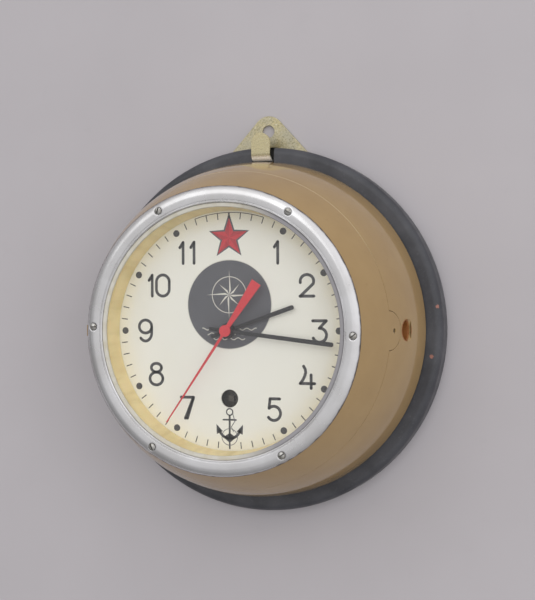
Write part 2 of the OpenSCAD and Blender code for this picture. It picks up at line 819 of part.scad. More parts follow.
module reflector_ring() {
    low_r = dial_open_d / 2;
    top_r = reflector_top_r;
    t = reflector_t;
    low = dial_h + seat_gap;
    ledge_low = glass_low - cover_ledge_t;
    color("#d4c080") stand() rotate_extrude($fn = 180) polygon([
        [low_r, low], [low_r + t, low], [top_r + t - 0.4, ledge_low - 1],
        [reflector_flange_r, ledge_low - 1], [reflector_flange_r, ledge_low],
        [top_r + t, ledge_low], [top_r + t, glass_low], [top_r, glass_low]
    ]);
}

// A hook under the tab, shaped to the skin; its lip is what the cam's finger holds
module strike_hook() {
    arm_y = 8.5;
    arm_t = 1.8;
    arm_w = 1.4;
    arm_x = strike_x + arm_w;
    low = parting_h - 6.4;
    rise = 6;
    lip_h = lock_h + 5;
    color(plated_steel) stand() difference() {
        union() {
            intersection() {
                translate([strike_x, -6, low]) cube([6, 12.5, rise]);
                casing_fill(wall + fit, low - 1, low + rise + 1);
            }
            translate([strike_x, 5, low]) cube([arm_w, arm_y + arm_t - 5, rise]);
            translate([cam_x, arm_y, lip_h]) cube([arm_x - cam_x, arm_t, low + rise - lip_h]);
            translate([cam_x, 2.5, lip_h]) cube([cam_t, arm_y - 2.5 + eps, 1.5]);
        }
        translate([side_x, 0, parting_h - hook_rivet_drop]) rotate([0, 90, 0])
            cylinder(r = hook_rivet_r + fit, h = side_len);
    }
}

module strike_rivet() {
    head_t = 0.8;
    low = parting_h - hook_rivet_drop;
    color(steel) stand() translate([strike_x - head_t - fit, 0, low]) rotate([0, 90, 0]) {
        disc(1.9, head_t);
        disc(hook_rivet_r, casing_r(low) - strike_x + head_t - 0.2);
    }
}

module movement_carrier() {
    color(steel) stand() translate([0, 0, ledge_top]) difference() {
        disc(carrier_d / 2, carrier_t);
        at(plate_mid, -1) cylinder(r = rear_plate_r + 1, h = carrier_t + 2);
        // room for the lock
        translate([ledge_inner_r - 2, -boss_r - 6, -1]) cube([20, 2 * boss_r + 12, carrier_t + 2]);
        for (a = carrier_screw_dirs)
            rotate([0, 0, a]) translate([carrier_screw_ring, 0, -1]) cylinder(r = 1.2, h = carrier_t + 2);
        for (a = plate_screw_dirs)
            at(plate_mid + polar(plate_screw_ring, a), -1) cylinder(r = 1 + fit, h = carrier_t + 2);
    }
}

module carrier_screws() {
    color(steel) stand() for (a = carrier_screw_dirs)
        rotate([0, 0, a]) translate([carrier_screw_ring, 0, ledge_top + carrier_t])
            slotted_screw(2, 1, carrier_screw_len);
}

module dial_support() {
    color("#8f8a80") stand() translate([0, 0, ledge_top + carrier_t])
        tube(dial_d / 2, dial_d / 2 - support_w, dial_h - dial_t - ledge_top - carrier_t);
}

module dial() {
    low = dial_h - dial_t;
    plate_top = plate_high + plate_t;
    dial_foot_ring = 42;
    color("#dcdacb") stand() {
        difference() {
            translate([0, 0, low]) disc(dial_d / 2, dial_t);
            translate([0, 0, low - 1]) cylinder(r = hour_outer_r + 0.6, h = dial_t + 2);
            at(barrel_pos, low - 1) cylinder(r = wind_hole_d / 2, h = dial_t + 2);
        }
        for (a = [10, 130, 250])
            rotate([0, 0, a]) translate([dial_foot_ring, 0, plate_top]) disc(1.5, low - plate_top + eps);
    }
}

module hand_baton(len, hub_out, hub_in, angle, h) {
    rotate([0, 0, 90 - angle]) translate([0, 0, h]) difference() {
        union() {
            disc(hub_out, 1);
            linear_extrude(hand_t) polygon([
                [-10, -baton_w * 0.42], [len - 0.8, -baton_w / 2], [len, -baton_w * 0.3],
                [len, baton_w * 0.3], [len - 0.8, baton_w / 2], [-10, baton_w * 0.42]
            ]);
        }
        translate([0, 0, -1]) cylinder(r = hub_in, h = 4);
    }
}

module hour_hand() {
    color("#232326") stand()
        hand_baton(hour_len, hour_outer_r + 1.2, hour_outer_r + 0.02, hour_angle, hour_hand_h);
}

module minute_hand() {
    color("#232326") stand()
        hand_baton(minute_len, cannon_outer_r + 1.4, cannon_outer_r + 0.02, minute_angle, minute_hand_h);
}

module seconds_hand() {
    color("#c8323a") stand() rotate([0, 0, 90 - seconds_angle]) translate([0, 0, seconds_hand_h])
        difference() {
            union() {
                disc(3.1, 1.2);
                linear_extrude(hand_t) polygon([
                    [-tail_len, -tail_w / 2], [-2, -1.1], [3, -0.75], [seconds_len, -0.3],
                    [seconds_len, 0.3], [3, 0.75], [-2, 1.1], [-tail_len, tail_w / 2]
                ]);
            }
            translate([0, 0, -1]) cylinder(r = seconds_arbor_r + 0.02, h = 1.8);
        }
}

module pillar_places() {
    for (a = pillar_dirs) at(plate_mid + polar(pillar_ring, a)) children();
}

module front_plate() {
    color(brass) stand() difference() {
        union() {
            at(plate_mid, plate_high) disc(front_plate_r, plate_t);
            at(minute_pos, plate_high + plate_t - eps) disc(arbor_r, 4);
        }
        translate([0, 0, plate_high - 1]) {
            pillar_places() cylinder(r = 1.5 + fit, h = plate_t + 2);
            cylinder(r = tube_outer_r + fit, h = plate_t + 2);
            at(barrel_pos) cylinder(r = wind_arbor_d / 2 - 0.7 + fit, h = plate_t + 2);
            at(inter_pos) cylinder(r = pivot_r + fit, h = plate_t + 2);
            at(third_pos) cylinder(r = pivot_r + fit, h = plate_t + 2);
            for (a = plate_screw_dirs)
                at(plate_mid + polar(plate_screw_ring, a)) cylinder(r = 1.2, h = plate_t + 2);
        }
    }
}

module rear_plate() {
    color(brass) stand() difference() {
        at(plate_mid, plate_low - plate_t) disc(rear_plate_r, plate_t);
        translate([0, 0, plate_low - plate_t - 1]) {
            pillar_places() cylinder(r = 1.5 + fit, h = plate_t + 2);
            cylinder(r = pivot_r + fit, h = plate_t + 2);
            at(barrel_pos) cylinder(r = wind_arbor_d / 2 - 0.7 + fit, h = plate_t + 2);
            for (p = [inter_pos, third_pos]) at(p) cylinder(r = pivot_r + fit, h = plate_t + 2);
            for (p = [escape_pos, pallet_pos, balance_pos]) at(p) cylinder(r = jewel_r + fit, h = plate_t + 2);
            for (p = bridge_posts) at(p) cylinder(r = 1 + fit, h = plate_t + 2);
            at(click_pos) cylinder(r = 1 + fit, h = plate_t + 2);
            at(click_spring_pos) cylinder(r = 1 + fit, h = plate_t + 2);
        }
    }
}

module pillars() {
    color(brass) stand() translate([0, 0, plate_low]) pillar_places() difference() {
        disc(pillar_d / 2, plate_high - plate_low);
        translate([0, 0, -1]) cylinder(r = 1.5 + fit, h = plate_high - plate_low + 2);
    }
}

module pillar_screws() {
    depth = 7;
    color(steel) stand() pillar_places() {
        translate([0, 0, plate_high + plate_t]) slotted_screw(2.6, 1.5, depth);
        translate([0, 0, plate_low - plate_t]) rotate([180, 0, 0]) slotted_screw(2.6, 1.5, depth);
    }
}

module plate_screws() {
    color(steel) stand() for (a = plate_screw_dirs)
        at(plate_mid + polar(plate_screw_ring, a), plate_high + plate_t) slotted_screw(2, 1, 5);
}

drum_r = drum_d / 2;
drum_wall = 1;
barrel_in_r = drum_r - drum_wall;

module barrel() {
    color(brass) stand() at(barrel_pos, level_barrel) difference() {
        union() {
            rotate([0, 0, barrel_phase]) gear(barrel_n, heavy_module, level_barrel_teeth);
            disc(drum_r, drum_len - 1.2);
        }
        translate([0, 0, 1.2]) cylinder(r = barrel_in_r, h = drum_len);
        translate([0, 0, -1]) cylinder(r = wind_arbor_d / 2 + fit, h = 4);
    }
}

module barrel_cover() {
    color(brass) stand() at(barrel_pos, level_barrel + drum_len - 1.2)
        tube(drum_r, wind_arbor_d / 2 + fit, 1.2);
}

module mainspring() {
    color("#5c6470") stand() at(barrel_pos, level_barrel + 1.5)
        linear_extrude(drum_len - 3)
            polygon(spiral_points(wind_arbor_d / 2 + 1.2, barrel_in_r - mainspring_t - 0.1,
                mainspring_turns, mainspring_t));
}

// The arbor's square front end lies behind the winding hole
module winding_arbor() {
    journal_r = wind_arbor_d / 2 - 0.7;
    square_w = 3;
    rear = plate_low - plate_t;
    front = plate_high + plate_t;
    color(steel) stand() at(barrel_pos) {
        translate([0, 0, plate_low + 0.3]) disc(wind_arbor_d / 2, plate_high - plate_low - 0.6);
        translate([0, 0, rear - 0.1]) disc(journal_r, front - rear + 0.2);
        translate([-square_w / 2, -square_w / 2, rear - 2.2]) cube([square_w, square_w, front - rear + 5]);
    }
}

ratchet_r = ratchet_d / 2;
ratchet_tooth = 1.1;
ratchet_low = plate_low - plate_t - 1.9;
ratchet_t = 1.6;

module ratchet_wheel() {
    pitch = 360 / ratchet_n;
    color(steel) stand() at(barrel_pos, ratchet_low) linear_extrude(ratchet_t) difference() {
        rotate([0, 0, click_tip_dir - 1.5]) polygon([
            for (i = [0 : ratchet_n - 1])
                each [polar(ratchet_r, i * pitch), polar(ratchet_r - ratchet_tooth, i * pitch + 1.5)]
        ]);
        square(3.06, center = true);
    }
}

// The click stands just clear of the teeth and drops between them when its joint turns
click_dir = 155;
click_tip_dir = click_dir - 37;
click_pos = barrel_pos + polar(ratchet_r + 3.6, click_dir);
click_tip = barrel_pos + polar(ratchet_r + 0.25, click_tip_dir);
click_spring_pos = click_pos + [-6, 7];

module click() {
    w = 3;
    dir = click_tip - click_pos;
    len = norm(dir);
    color(steel) stand() at(click_pos, ratchet_low) rotate([0, 0, atan2(dir.y, dir.x)])
        linear_extrude(ratchet_t) difference() {
            union() {
                circle(r = w);
                polygon([[0, -1.6], [len - 0.6, 0.1], [len, 0.4], [len - 0.5, 1.6], [0, w - 0.4]]);
            }
            circle(r = 1.25 + fit);
        }
}

module click_screw() {
    color(steel) stand() {
        at(click_pos, ratchet_low - 0.1) rotate([180, 0, 0]) slotted_screw(2.4, 1.25, ratchet_t + 0.3, 1);
        at(click_pos, ratchet_low + ratchet_t + 0.1) disc(1, 3);
    }
}

module click_spring() {
    low = ratchet_low + 0.3;
    color(steel) stand() {
        at(click_spring_pos, low) {
            disc(1.8, plate_low - plate_t - low);
            disc(1, plate_low - low - 0.4);
            rotate([0, 0, -4]) translate([0, 1.4, 0]) cube([13, 0.4, 1]);
        }
    }
}

// Angles that set each pair of wheels tooth to gap along its line of centres
function dir_of(a, b) = atan2(b.y - a.y, b.x - a.x);
barrel_phase = dir_of(barrel_pos, inter_pos);
inter_pinion_phase = barrel_phase + 180 + 180 / heavy_pinion_n;
inter_wheel_phase = dir_of(inter_pos, [0, 0]);
centre_pinion_phase = inter_wheel_phase + 180 + 180 / heavy_pinion_n;
third_pinion_phase = third_dir + 180 + 180 / light_pinion_n;
third_wheel_phase = third_dir + 180;
seconds_pinion_phase = third_dir + 180 / light_pinion_n;
escape_pinion_phase = escape_dir + 180 + 180 / escape_pinion_n;
minute_wheel_phase = motion_dir + 180;
cannon_phase = motion_dir + 180 / motion_pinion_n;
minute_pinion_phase = motion_dir + 180;
hour_wheel_phase = motion_dir + 180 / hour_n;

module intermediate_wheel() {
    color(brass) stand() at(inter_pos) {
        translate([0, 0, plate_low + 0.2]) disc(arbor_r, plate_high - plate_low - 0.4);
        translate([0, 0, plate_low - 1.6]) disc(pivot_r, plate_high - plate_low + 3.2);
        translate([0, 0, plate_low + 2.4]) rotate([0, 0, inter_pinion_phase])
            gear(heavy_pinion_n, heavy_module, 3);
        translate([0, 0, level_inter]) rotate([0, 0, inter_wheel_phase])
            spoked_gear(inter_n, heavy_module, wheel_t + 0.2, 3.4, 4, 2, 1.6);
    }
}

module centre_wheel() {
    tube_low = level_third + wheel_t + 1.4;
    color(brass) stand() difference() {
        union() {
            translate([0, 0, tube_low]) disc(tube_outer_r, minute_hand_h + 0.8 - tube_low);
            translate([0, 0, tube_low]) disc(2.2, plate_high - 0.3 - tube_low);
            translate([0, 0, level_inter - 0.2]) rotate([0, 0, centre_pinion_phase])
                gear(heavy_pinion_n, heavy_module, 1.7);
            translate([0, 0, level_centre]) rotate([0, 0, third_dir])
                spoked_gear(centre_n, centre_module, wheel_t, 3.4, 4, 2, 1.4);
        }
        translate([0, 0, tube_low - 1]) cylinder(r = tube_inner_r, h = minute_hand_h - tube_low + 3);
    }
}

module cannon_pinion() {
    color(steel) stand() translate([0, 0, level_motion]) difference() {
        union() {
            rotate([0, 0, cannon_phase]) gear(motion_pinion_n, minute_module, 1.4);
            disc(cannon_outer_r, minute_hand_h + 0.6 - level_motion);
        }
        translate([0, 0, -1]) cylinder(r = cannon_inner_r, h = minute_hand_h - level_motion + 3);
    }
}

module minute_wheel() {
    color(brass) stand() at(minute_pos, level_motion + 0.2) difference() {
        union() {
            rotate([0, 0, minute_wheel_phase]) spoked_gear(minute_n, minute_module, wheel_t, 3, 4, 1.6, 1.2);
            translate([0, 0, wheel_t - eps]) rotate([0, 0, minute_pinion_phase])
                gear(motion_pinion_n, hour_module, 2);
        }
        translate([0, 0, -1]) cylinder(r = arbor_r + fit, h = 6);
    }
}

module hour_wheel() {
    low = level_motion + 1.9;
    color(brass) stand() translate([0, 0, low]) difference() {
        union() {
            rotate([0, 0, hour_wheel_phase]) spoked_gear(hour_n, hour_module, wheel_t, 4.2, 4, 2, 1.4);
            disc(hour_outer_r, hour_hand_h + 0.8 - low);
        }
        translate([0, 0, -1]) cylinder(r = hour_inner_r, h = hour_hand_h - low + 3);
    }
}

module third_wheel() {
    color(brass) stand() at(third_pos) {
        translate([0, 0, plate_low + 0.2]) disc(light_arbor_r, plate_high - plate_low - 0.4);
        translate([0, 0, plate_low - 1.6]) disc(pivot_r, plate_high - plate_low + 3.2);
        translate([0, 0, level_centre - 0.4]) rotate([0, 0, third_pinion_phase])
            gear(light_pinion_n, centre_module, 1.8);
        translate([0, 0, level_third]) rotate([0, 0, third_wheel_phase])
            spoked_gear(third_n, third_module, wheel_t, 2.6, 4, 1.6, 1.2);
    }
}

module seconds_wheel() {
    color(brass) stand() {
        translate([0, 0, plate_low - 1.6]) disc(pivot_r, 3);
        translate([0, 0, plate_low + 0.2]) disc(seconds_arbor_r, seconds_hand_h + 0.6 - plate_low - 0.2);
        translate([0, 0, level_third - 0.4]) rotate([0, 0, seconds_pinion_phase])
            gear(light_pinion_n, third_module, 1.8);
        translate([0, 0, level_seconds]) rotate([0, 0, escape_dir])
            spoked_gear(seconds_n, seconds_module, wheel_t, 2.6, 4, 1.6, 1.2);
    }
}

jewel_r = 1.3;

module jewel(p, h, t) {
    at(p, h) tube(jewel_r, 0.3, t);
}

module jewels() {
    color("#b02a48") stand() for (p = [escape_pos, pallet_pos, balance_pos]) {
        jewel(p, plate_low - 1.2, 1.2);
        jewel(p, level_bridge, 1.2);
    }
}

// An arbor with thin pivots that run in the jewels
module jewelled_arbor(r) {
    translate([0, 0, plate_low + 0.1]) disc(r, level_bridge - plate_low - 0.2);
    translate([0, 0, plate_low - 1]) disc(0.25, level_bridge - plate_low + 2);
}

module escape_wheel() {
    pitch = 360 / escape_n;
    r = escape_d / 2;
    color(brass) stand() at(escape_pos) {
        jewelled_arbor(light_arbor_r);
        translate([0, 0, level_seconds - 0.4]) rotate([0, 0, escape_pinion_phase])
            gear(escape_pinion_n, seconds_module, 1.8);
        translate([0, 0, level_escape]) linear_extrude(0.8) difference() {
            polygon([
                for (i = [0 : escape_n - 1])
                    each [
                        polar(r, i * pitch), polar(r, i * pitch + 2.5),
                        polar(r * 0.78, i * pitch + 9), polar(r * 0.78, i * pitch + pitch - 3)
                    ]
            ]);
            for (a = [0 : 90 : 270])
                rotate([0, 0, a + 45]) translate([2.6, 0]) circle(r = 1.1);
        }
    }
}

module pallet_lever() {
    stone_dist = escape_d / 2 + 0.95;
    fork_len = balance_dist - 2.3;
    color(steel) stand() at(pallet_pos) {
        jewelled_arbor(light_arbor_r);
        translate([0, 0, level_escape]) rotate([0, 0, escape_dir]) linear_extrude(0.8) {
            circle(r = 1.4);
            translate([0, -0.6]) square([fork_len - 1.2, 1.2]);
            for (s = [-1, 1]) {
                stone_end = polar(stone_dist, s * 42) - [pallet_dist, 0];
                polygon([
                    [fork_len - 2.4, 0], [fork_len - 1.2, s * 1.5], [fork_len, s * 1.5],
                    [fork_len, s * 0.6], [fork_len - 1.2, s * 0.6], [fork_len - 1.2, 0]
                ]);
                // arms that reach round the escape wheel, with a stone at each end
                polygon([
                    [1, 0], [-0.6, s * 4.9], stone_end + [0.7, 1.2 * s],
                    stone_end, polar(stone_dist, s * 33) - [pallet_dist, 0],
                    [-1.2, s * 3.2], [-1, 0]
                ]);
            }
        }
    }
}

module balance_wheel() {
    r = balance_d / 2;
    color(brass) stand() at(balance_pos) {
        jewelled_arbor(light_arbor_r);
        translate([0, 0, level_balance]) {
            tube(r, r - 1.1, 1.2);
            disc(1.7, 1.2);
            rotate([0, 0, escape_dir]) translate([-r + 0.6, -0.7, 0]) cube([2 * r - 1.2, 1.4, 0.8]);
            // timing screws around the rim
            for (i = [0 : 11])
                rotate([0, 0, i * 30 + 15]) translate([r - 0.3, 0, 0.6]) rotate([0, 90, 0]) disc(0.4, 0.7);
        }
    }
}

module balance_roller() {
    low = level_escape + 1.4;
    color("#8d2f3f") stand() at(balance_pos) difference() {
        union() {
            translate([0, 0, low]) disc(2.6, 0.6);
            rotate([0, 0, escape_dir + 180]) translate([2, 0, low - 0.5]) disc(0.25, 0.6);
        }
        translate([0, 0, low - 1]) cylinder(r = light_arbor_r + 0.02, h = 3);
    }
}

module hairspring() {
    low = level_balance + 2.4;
    r_out = 5.6;
    stud = polar(r_out + hairspring_t / 2, 0);
    color("#4a5a7a") stand() at(balance_pos) {
        translate([0, 0, low]) linear_extrude(0.6)
            polygon(spiral_points(1.1, r_out, hairspring_turns, hairspring_t));
        at(stud, low) disc(0.45, level_bridge - low);
    }
}

// Posts of the two bridges, written along and across the line from the escape wheel to the balance
function along(u, v) = [u * cos(escape_dir) - v * sin(escape_dir), u * sin(escape_dir) + v * cos(escape_dir)];
bridge_u = escape_dist + 4.8;
bridge_v = 10.5;
cock_v = 12.5;
balance_u = escape_dist + pallet_dist + balance_dist;
bridge_posts = [along(bridge_u, bridge_v), along(bridge_u, -bridge_v), along(balance_u, -cock_v)];

module post(p) {
    at(p, plate_low) disc(2.2, level_bridge - plate_low + eps);
}

module bar(a, b, w) {
    d = b - a;
    at(a, level_bridge) rotate([0, 0, atan2(d.y, d.x)]) translate([0, -w / 2, 0]) cube([norm(d), w, bridge_t]);
}

module escapement_bridge() {
    color(brass) stand() difference() {
        union() {
            for (i = [0, 1]) {
                post(bridge_posts[i]);
                at(bridge_posts[i], level_bridge) disc(2.6, bridge_t);
            }
            bar(bridge_posts[0], bridge_posts[1], 4.6);
            bar(escape_pos, pallet_pos, 4);
            at(escape_pos, level_bridge) disc(2.4, bridge_t);
            at(pallet_pos, level_bridge) disc(2.4, bridge_t);
        }
        for (p = [escape_pos, pallet_pos]) at(p, level_bridge - 1) cylinder(r = jewel_r + fit, h = 4);
        for (i = [0, 1]) at(bridge_posts[i], plate_low - 1) cylinder(r = 1 + fit, h = 20);
    }
}

module balance_cock() {
    color(brass) stand() difference() {
        union() {
            post(bridge_posts[2]);
            at(bridge_posts[2], level_bridge) disc(3, bridge_t);
            bar(bridge_posts[2], balance_pos, 4.4);
            at(balance_pos, level_bridge) disc(3, bridge_t);
            // arm that holds the hairspring's stud
            bar(balance_pos, balance_pos + [7.2, 0], 2.4);
        }
        at(balance_pos, level_bridge - 1) cylinder(r = jewel_r + fit, h = 4);
        at(bridge_posts[2], plate_low - 1) cylinder(r = 1 + fit, h = 20);
    }
}

module bridge_screws() {
    color(steel) stand() for (p = bridge_posts) {
        at(p, level_bridge + bridge_t) slotted_screw(1.9, 1, 8, 0.9);
    }
}

base_ring();
back_cover();
back_cover_screws();
hanger_plate();
hanger_rivets();
rear_casing();
casing_screws();
hinge_pin();
lock_bush();
lock_spindle();
lock_cam();
front_casing();
bezel();
bezel_screws();
glass();
glass_gasket();
reflector_ring();
strike_hook();
strike_rivet();
movement_carrier();
carrier_screws();
dial_support();
dial();
hour_hand();
minute_hand();
seconds_hand();
front_plate();
rear_plate();
pillars();
pillar_screws();
plate_screws();
barrel();
barrel_cover();
mainspring();
winding_arbor();
ratchet_wheel();
click();
click_spring();
click_screw();
intermediate_wheel();
centre_wheel();
cannon_pinion();
minute_wheel();
hour_wheel();
third_wheel();
seconds_wheel();
escape_wheel();
pallet_lever();
balance_wheel();
balance_roller();
hairspring();
escapement_bridge();
balance_cock();
bridge_screws();
jewels();
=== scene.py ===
# %% [markdown]
# # A marine clock on a wall
# The clock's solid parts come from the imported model, which also holds every moving body. This lesson gives
# each part a procedural finish, prints the dial, and sets the camera and the soft light of a plain room.
# Lengths are in metres. +X points right, +Y into the wall, +Z up, and the dial looks along -Y.

import math

import bmesh
import bpy
from mathutils import Matrix, Vector


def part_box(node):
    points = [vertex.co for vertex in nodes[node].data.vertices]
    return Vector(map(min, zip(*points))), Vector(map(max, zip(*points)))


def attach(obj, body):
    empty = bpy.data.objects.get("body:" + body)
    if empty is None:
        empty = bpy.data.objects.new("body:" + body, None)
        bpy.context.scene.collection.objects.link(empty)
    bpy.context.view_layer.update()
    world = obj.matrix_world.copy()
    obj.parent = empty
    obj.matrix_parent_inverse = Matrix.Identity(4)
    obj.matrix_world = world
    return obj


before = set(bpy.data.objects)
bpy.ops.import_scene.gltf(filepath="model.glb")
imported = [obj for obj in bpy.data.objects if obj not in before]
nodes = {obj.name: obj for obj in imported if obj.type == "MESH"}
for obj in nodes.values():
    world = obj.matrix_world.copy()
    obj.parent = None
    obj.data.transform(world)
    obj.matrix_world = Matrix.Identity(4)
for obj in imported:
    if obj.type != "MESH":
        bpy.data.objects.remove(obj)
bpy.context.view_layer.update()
MM = 0.001

# %% [markdown]
# ## Colours
# Colours are written as the sRGB hex values that a paint chart or a photograph shows. The shader works in
# linear light, so one function converts them by the curve of the sRGB standard.


# %% Colour helper
def colour(text):
    values = [int(text[i : i + 2], 16) / 255 for i in (1, 3, 5)]
    linear = [v / 12.92 if v <= 0.04045 else ((v + 0.055) / 1.055) ** 2.4 for v in values]
    return (*linear, 1.0)


TAN = "#a68b60"
print("casing tan in linear light:", [round(c, 3) for c in colour(TAN)])

# %% [markdown]
# ## Small building blocks
# Every finish is a small node tree. `add` makes one node, fills in its settings and plugs its inputs, and
# the functions after it each wrap one kind of node, so that a material reads as a short list of steps.
# Patterns use object coordinates, which are metres here, so a noise scale of 1000 gives features of about
# one millimetre.


# %% Node helpers
def add(mat, kind, inputs=None, **settings):
    """One node; an input is a number, a colour or another node's output."""
    node = mat.node_tree.nodes.new(kind)
    for key, value in settings.items():
        setattr(node, key, value)
    for key, value in (inputs or {}).items():
        if isinstance(value, bpy.types.NodeSocket):
            mat.node_tree.links.new(value, node.inputs[key])
        else:
            node.inputs[key].default_value = value
    return node


def material(name):
    mat = bpy.data.materials.new(name)
    mat.use_nodes = True
    mat.node_tree.nodes.clear()
    return mat


def mix(mat, amount, a, b):
    return add(mat, "ShaderNodeMix", {0: amount, 6: a, 7: b}, data_type="RGBA").outputs[2]


def math_node(mat, operation, a, b=0.0):
    return add(mat, "ShaderNodeMath", {0: a, 1: b}, operation=operation).outputs[0]


def multiply(mat, a, b):
    return math_node(mat, "MULTIPLY", a, b)


def measure(mat, operation, *vectors):
    """A number from vectors: the length of one, the distance between two or their dot product."""
    node = add(mat, "ShaderNodeVectorMath", dict(enumerate(vectors)), operation=operation)
    return node.outputs["Value"]


print("a noise scale of", round(1 / MM), "gives features of about 1 mm")


# %% Pattern helpers
NOISE_LOW = 0.3
NOISE_HIGH = 0.7
FINEST = 0.01 * MM


def place(mat):
    return add(mat, "ShaderNodeTexCoord").outputs["Object"]


def axis(mat, name):
    return add(mat, "ShaderNodeSeparateXYZ", {"Vector": place(mat)}).outputs[name]


def stretched(mat, x, y, z):
    """Positions with each axis in a scale of its own, so that a pattern on them is drawn out."""
    return add(mat, "ShaderNodeMapping", {"Vector": place(mat), "Scale": (x, y, z)}).outputs["Vector"]


def dial_radius(mat):
    """Distance from the clock's axis, which runs along Y."""
    return measure(mat, "LENGTH", stretched(mat, 1, 0, 1))


def noise(mat, scale, detail, rough=0.55, where=None):
    inputs = {"Vector": where or place(mat), "Scale": scale, "Detail": detail, "Roughness": rough}
    return add(mat, "ShaderNodeTexNoise", inputs).outputs["Fac"]


def remap(mat, value, low, high, to_low=0.0, to_high=1.0):
    """Values from low to high become to_low to to_high, and what lies outside is clamped."""
    inputs = {"Value": value, "From Min": low, "From Max": high, "To Min": to_low, "To Max": to_high}
    return add(mat, "ShaderNodeMapRange", inputs, clamp=True).outputs["Result"]


def between(mat, mask, bare, covered):
    """One value where the mask is 0 and another where it is 1."""
    return remap(mat, mask, 0, 1, bare, covered)


def patches(mat, scale, detail, low, high, amount=1.0, rough=0.55):
    """Irregular patches where the noise passes from low to high, up to amount."""
    return remap(mat, noise(mat, scale, detail, rough), low, high, 0, amount)


def uneven(mat, scale, detail, least, most):
    """A value that wanders between least and most."""
    return remap(mat, noise(mat, scale, detail), NOISE_LOW, NOISE_HIGH, least, most)


def bump(mat, height, depth, strength, over=None):
    inputs = {"Height": height, "Distance": depth, "Strength": strength}
    if over:
        inputs["Normal"] = over
    return add(mat, "ShaderNodeBump", inputs).outputs["Normal"]


def grained(mat, scale, detail, depth, strength):
    """The fine relief of a surface that is even all over."""
    return bump(mat, noise(mat, scale, detail), depth, strength)


print("the finest bumps are", round(FINEST / MM, 3), "mm deep")


# %% Shader helpers
def layered(mat, base, *layers):
    """The base colour with each pair of mask and colour laid over it in turn."""
    tone = colour(base)
    for mask, over in layers:
        tone = mix(mat, mask, tone, colour(over))
    return tone


def finish_shader(mat, shader):
    out = add(mat, "ShaderNodeOutputMaterial")
    mat.node_tree.links.new(shader, out.inputs["Surface"])
    return mat


def principled(mat, tone, rough, more):
    inputs = {"Base Color": tone, "Roughness": rough, **more}
    return add(mat, "ShaderNodeBsdfPrincipled", inputs).outputs["BSDF"]


def coat(mat, tone, rough, normal, index=1.5):
    """Paint, plastic or rubber."""
    return finish_shader(mat, principled(mat, tone, rough, {"IOR": index, "Normal": normal}))


def metal(mat, tone, rough, normal, metallic=1.0):
    """Metals keep the shader's default index, since their base colour sets how they reflect."""
    return finish_shader(mat, principled(mat, tone, rough, {"Metallic": metallic, "Normal": normal}))


print("shader helpers:", ", ".join(f.__name__ for f in (layered, principled, coat, metal)))

# %% [markdown]
# ## Casing: glossy moulded plastic, decades old
# The tan casing is a thermosetting moulding with a polished skin. Handling leaves faint cloudy patches,
# fine scratches and a few dull scuffs, so the colour moves by a few percent and the gloss by rather more.
# A painted texture could carry this too, but noise needs no unwrapping and stays sharp close up. Two
# things have their place: the brown wall of the keyhole's bore, and a painted highlight, a pale line along
# the parting edge of the two halves near the top.

# %% Keyhole and parting edge
KEYHOLE_Y = -0.044
KEYHOLE_R = 0.0052
BORE_EDGE = (0.0009, 0.0005)
BORE_SIDE_X = (0.060, 0.065)
PARTING_Y = -0.061
PARTING_HIGHLIGHT_HALF = 0.00045
PARTING_HIGHLIGHT_Z = (0.03, 0.055)
PARTING_HIGHLIGHT_AMOUNT = 0.5


def keyhole_bore(mat):
    """1 on the wall of the keyhole, whose axis runs along X on the right side, and 0 elsewhere."""
    from_axis = measure(mat, "DISTANCE", stretched(mat, 0, 1, 1), (0, KEYHOLE_Y, 0))
    right_side = remap(mat, axis(mat, "X"), *BORE_SIDE_X)
    in_hole = remap(mat, from_axis, *(KEYHOLE_R + margin for margin in BORE_EDGE))
    return multiply(mat, in_hole, right_side)


def painted_parting_highlight(mat):
    """Painted highlight: a thin pale line where the casing's halves meet, fading in towards the top."""
    off_parting = math_node(mat, "ABSOLUTE", math_node(mat, "SUBTRACT", axis(mat, "Y"), PARTING_Y))
    line = remap(mat, off_parting, PARTING_HIGHLIGHT_HALF, PARTING_HIGHLIGHT_HALF / 2)
    return multiply(mat, line, remap(mat, axis(mat, "Z"), *PARTING_HIGHLIGHT_Z, 0, PARTING_HIGHLIGHT_AMOUNT))


print("keyhole", round(2 * KEYHOLE_R / MM, 1), "mm across, parting at y =", round(PARTING_Y / MM), "mm")

# %% Tan casing
POLISHED = 0.09
SCUFFED = 0.24
BORE_ROUGH = 0.5
SCRATCHES = (200, 200, 4200)


def make_casing():
    mat = material("thermoset plastic, polished tan")
    clouds = patches(mat, scale=35, detail=3, low=0.35, high=0.7)
    mottle = patches(mat, scale=260, detail=5, low=0.62, high=0.8, amount=0.35)
    scuffs = patches(mat, scale=90, detail=8, low=0.6, high=0.72, rough=0.7)
    bore = keyhole_bore(mat)
    # Painted highlight: a pale line along the parting edge, near the top.
    marks_with_highlight = painted_parting_highlight(mat)
    worn = [(clouds, "#9e835a"), (mottle, "#8d7350"), (bore, "#8a5526"), (marks_with_highlight, "#d9c59c")]
    polish = between(mat, scuffs, POLISHED, SCUFFED)
    rough = math_node(mat, "MAXIMUM", polish, multiply(mat, bore, BORE_ROUGH))
    scratches = noise(mat, scale=1, detail=6, rough=0.6, where=stretched(mat, *SCRATCHES))
    skin = math_node(mat, "ADD", scratches, noise(mat, scale=1800, detail=2))
    return coat(mat, layered(mat, TAN, *worn), rough, bump(mat, skin, depth=FINEST, strength=0.2))


casing = make_casing()
print("casing:", casing.name)

# %% [markdown]
# ## Base ring: black moulding with worn edges
# The ring sits nearest the bulkhead, so it is rubbed grey and has caught a few specks of red-brown paint.
# Two specks on the right flank are placed by position, and a sparse cell pattern gives the rest, since a
# pattern alone would not put one where the photograph shows it.

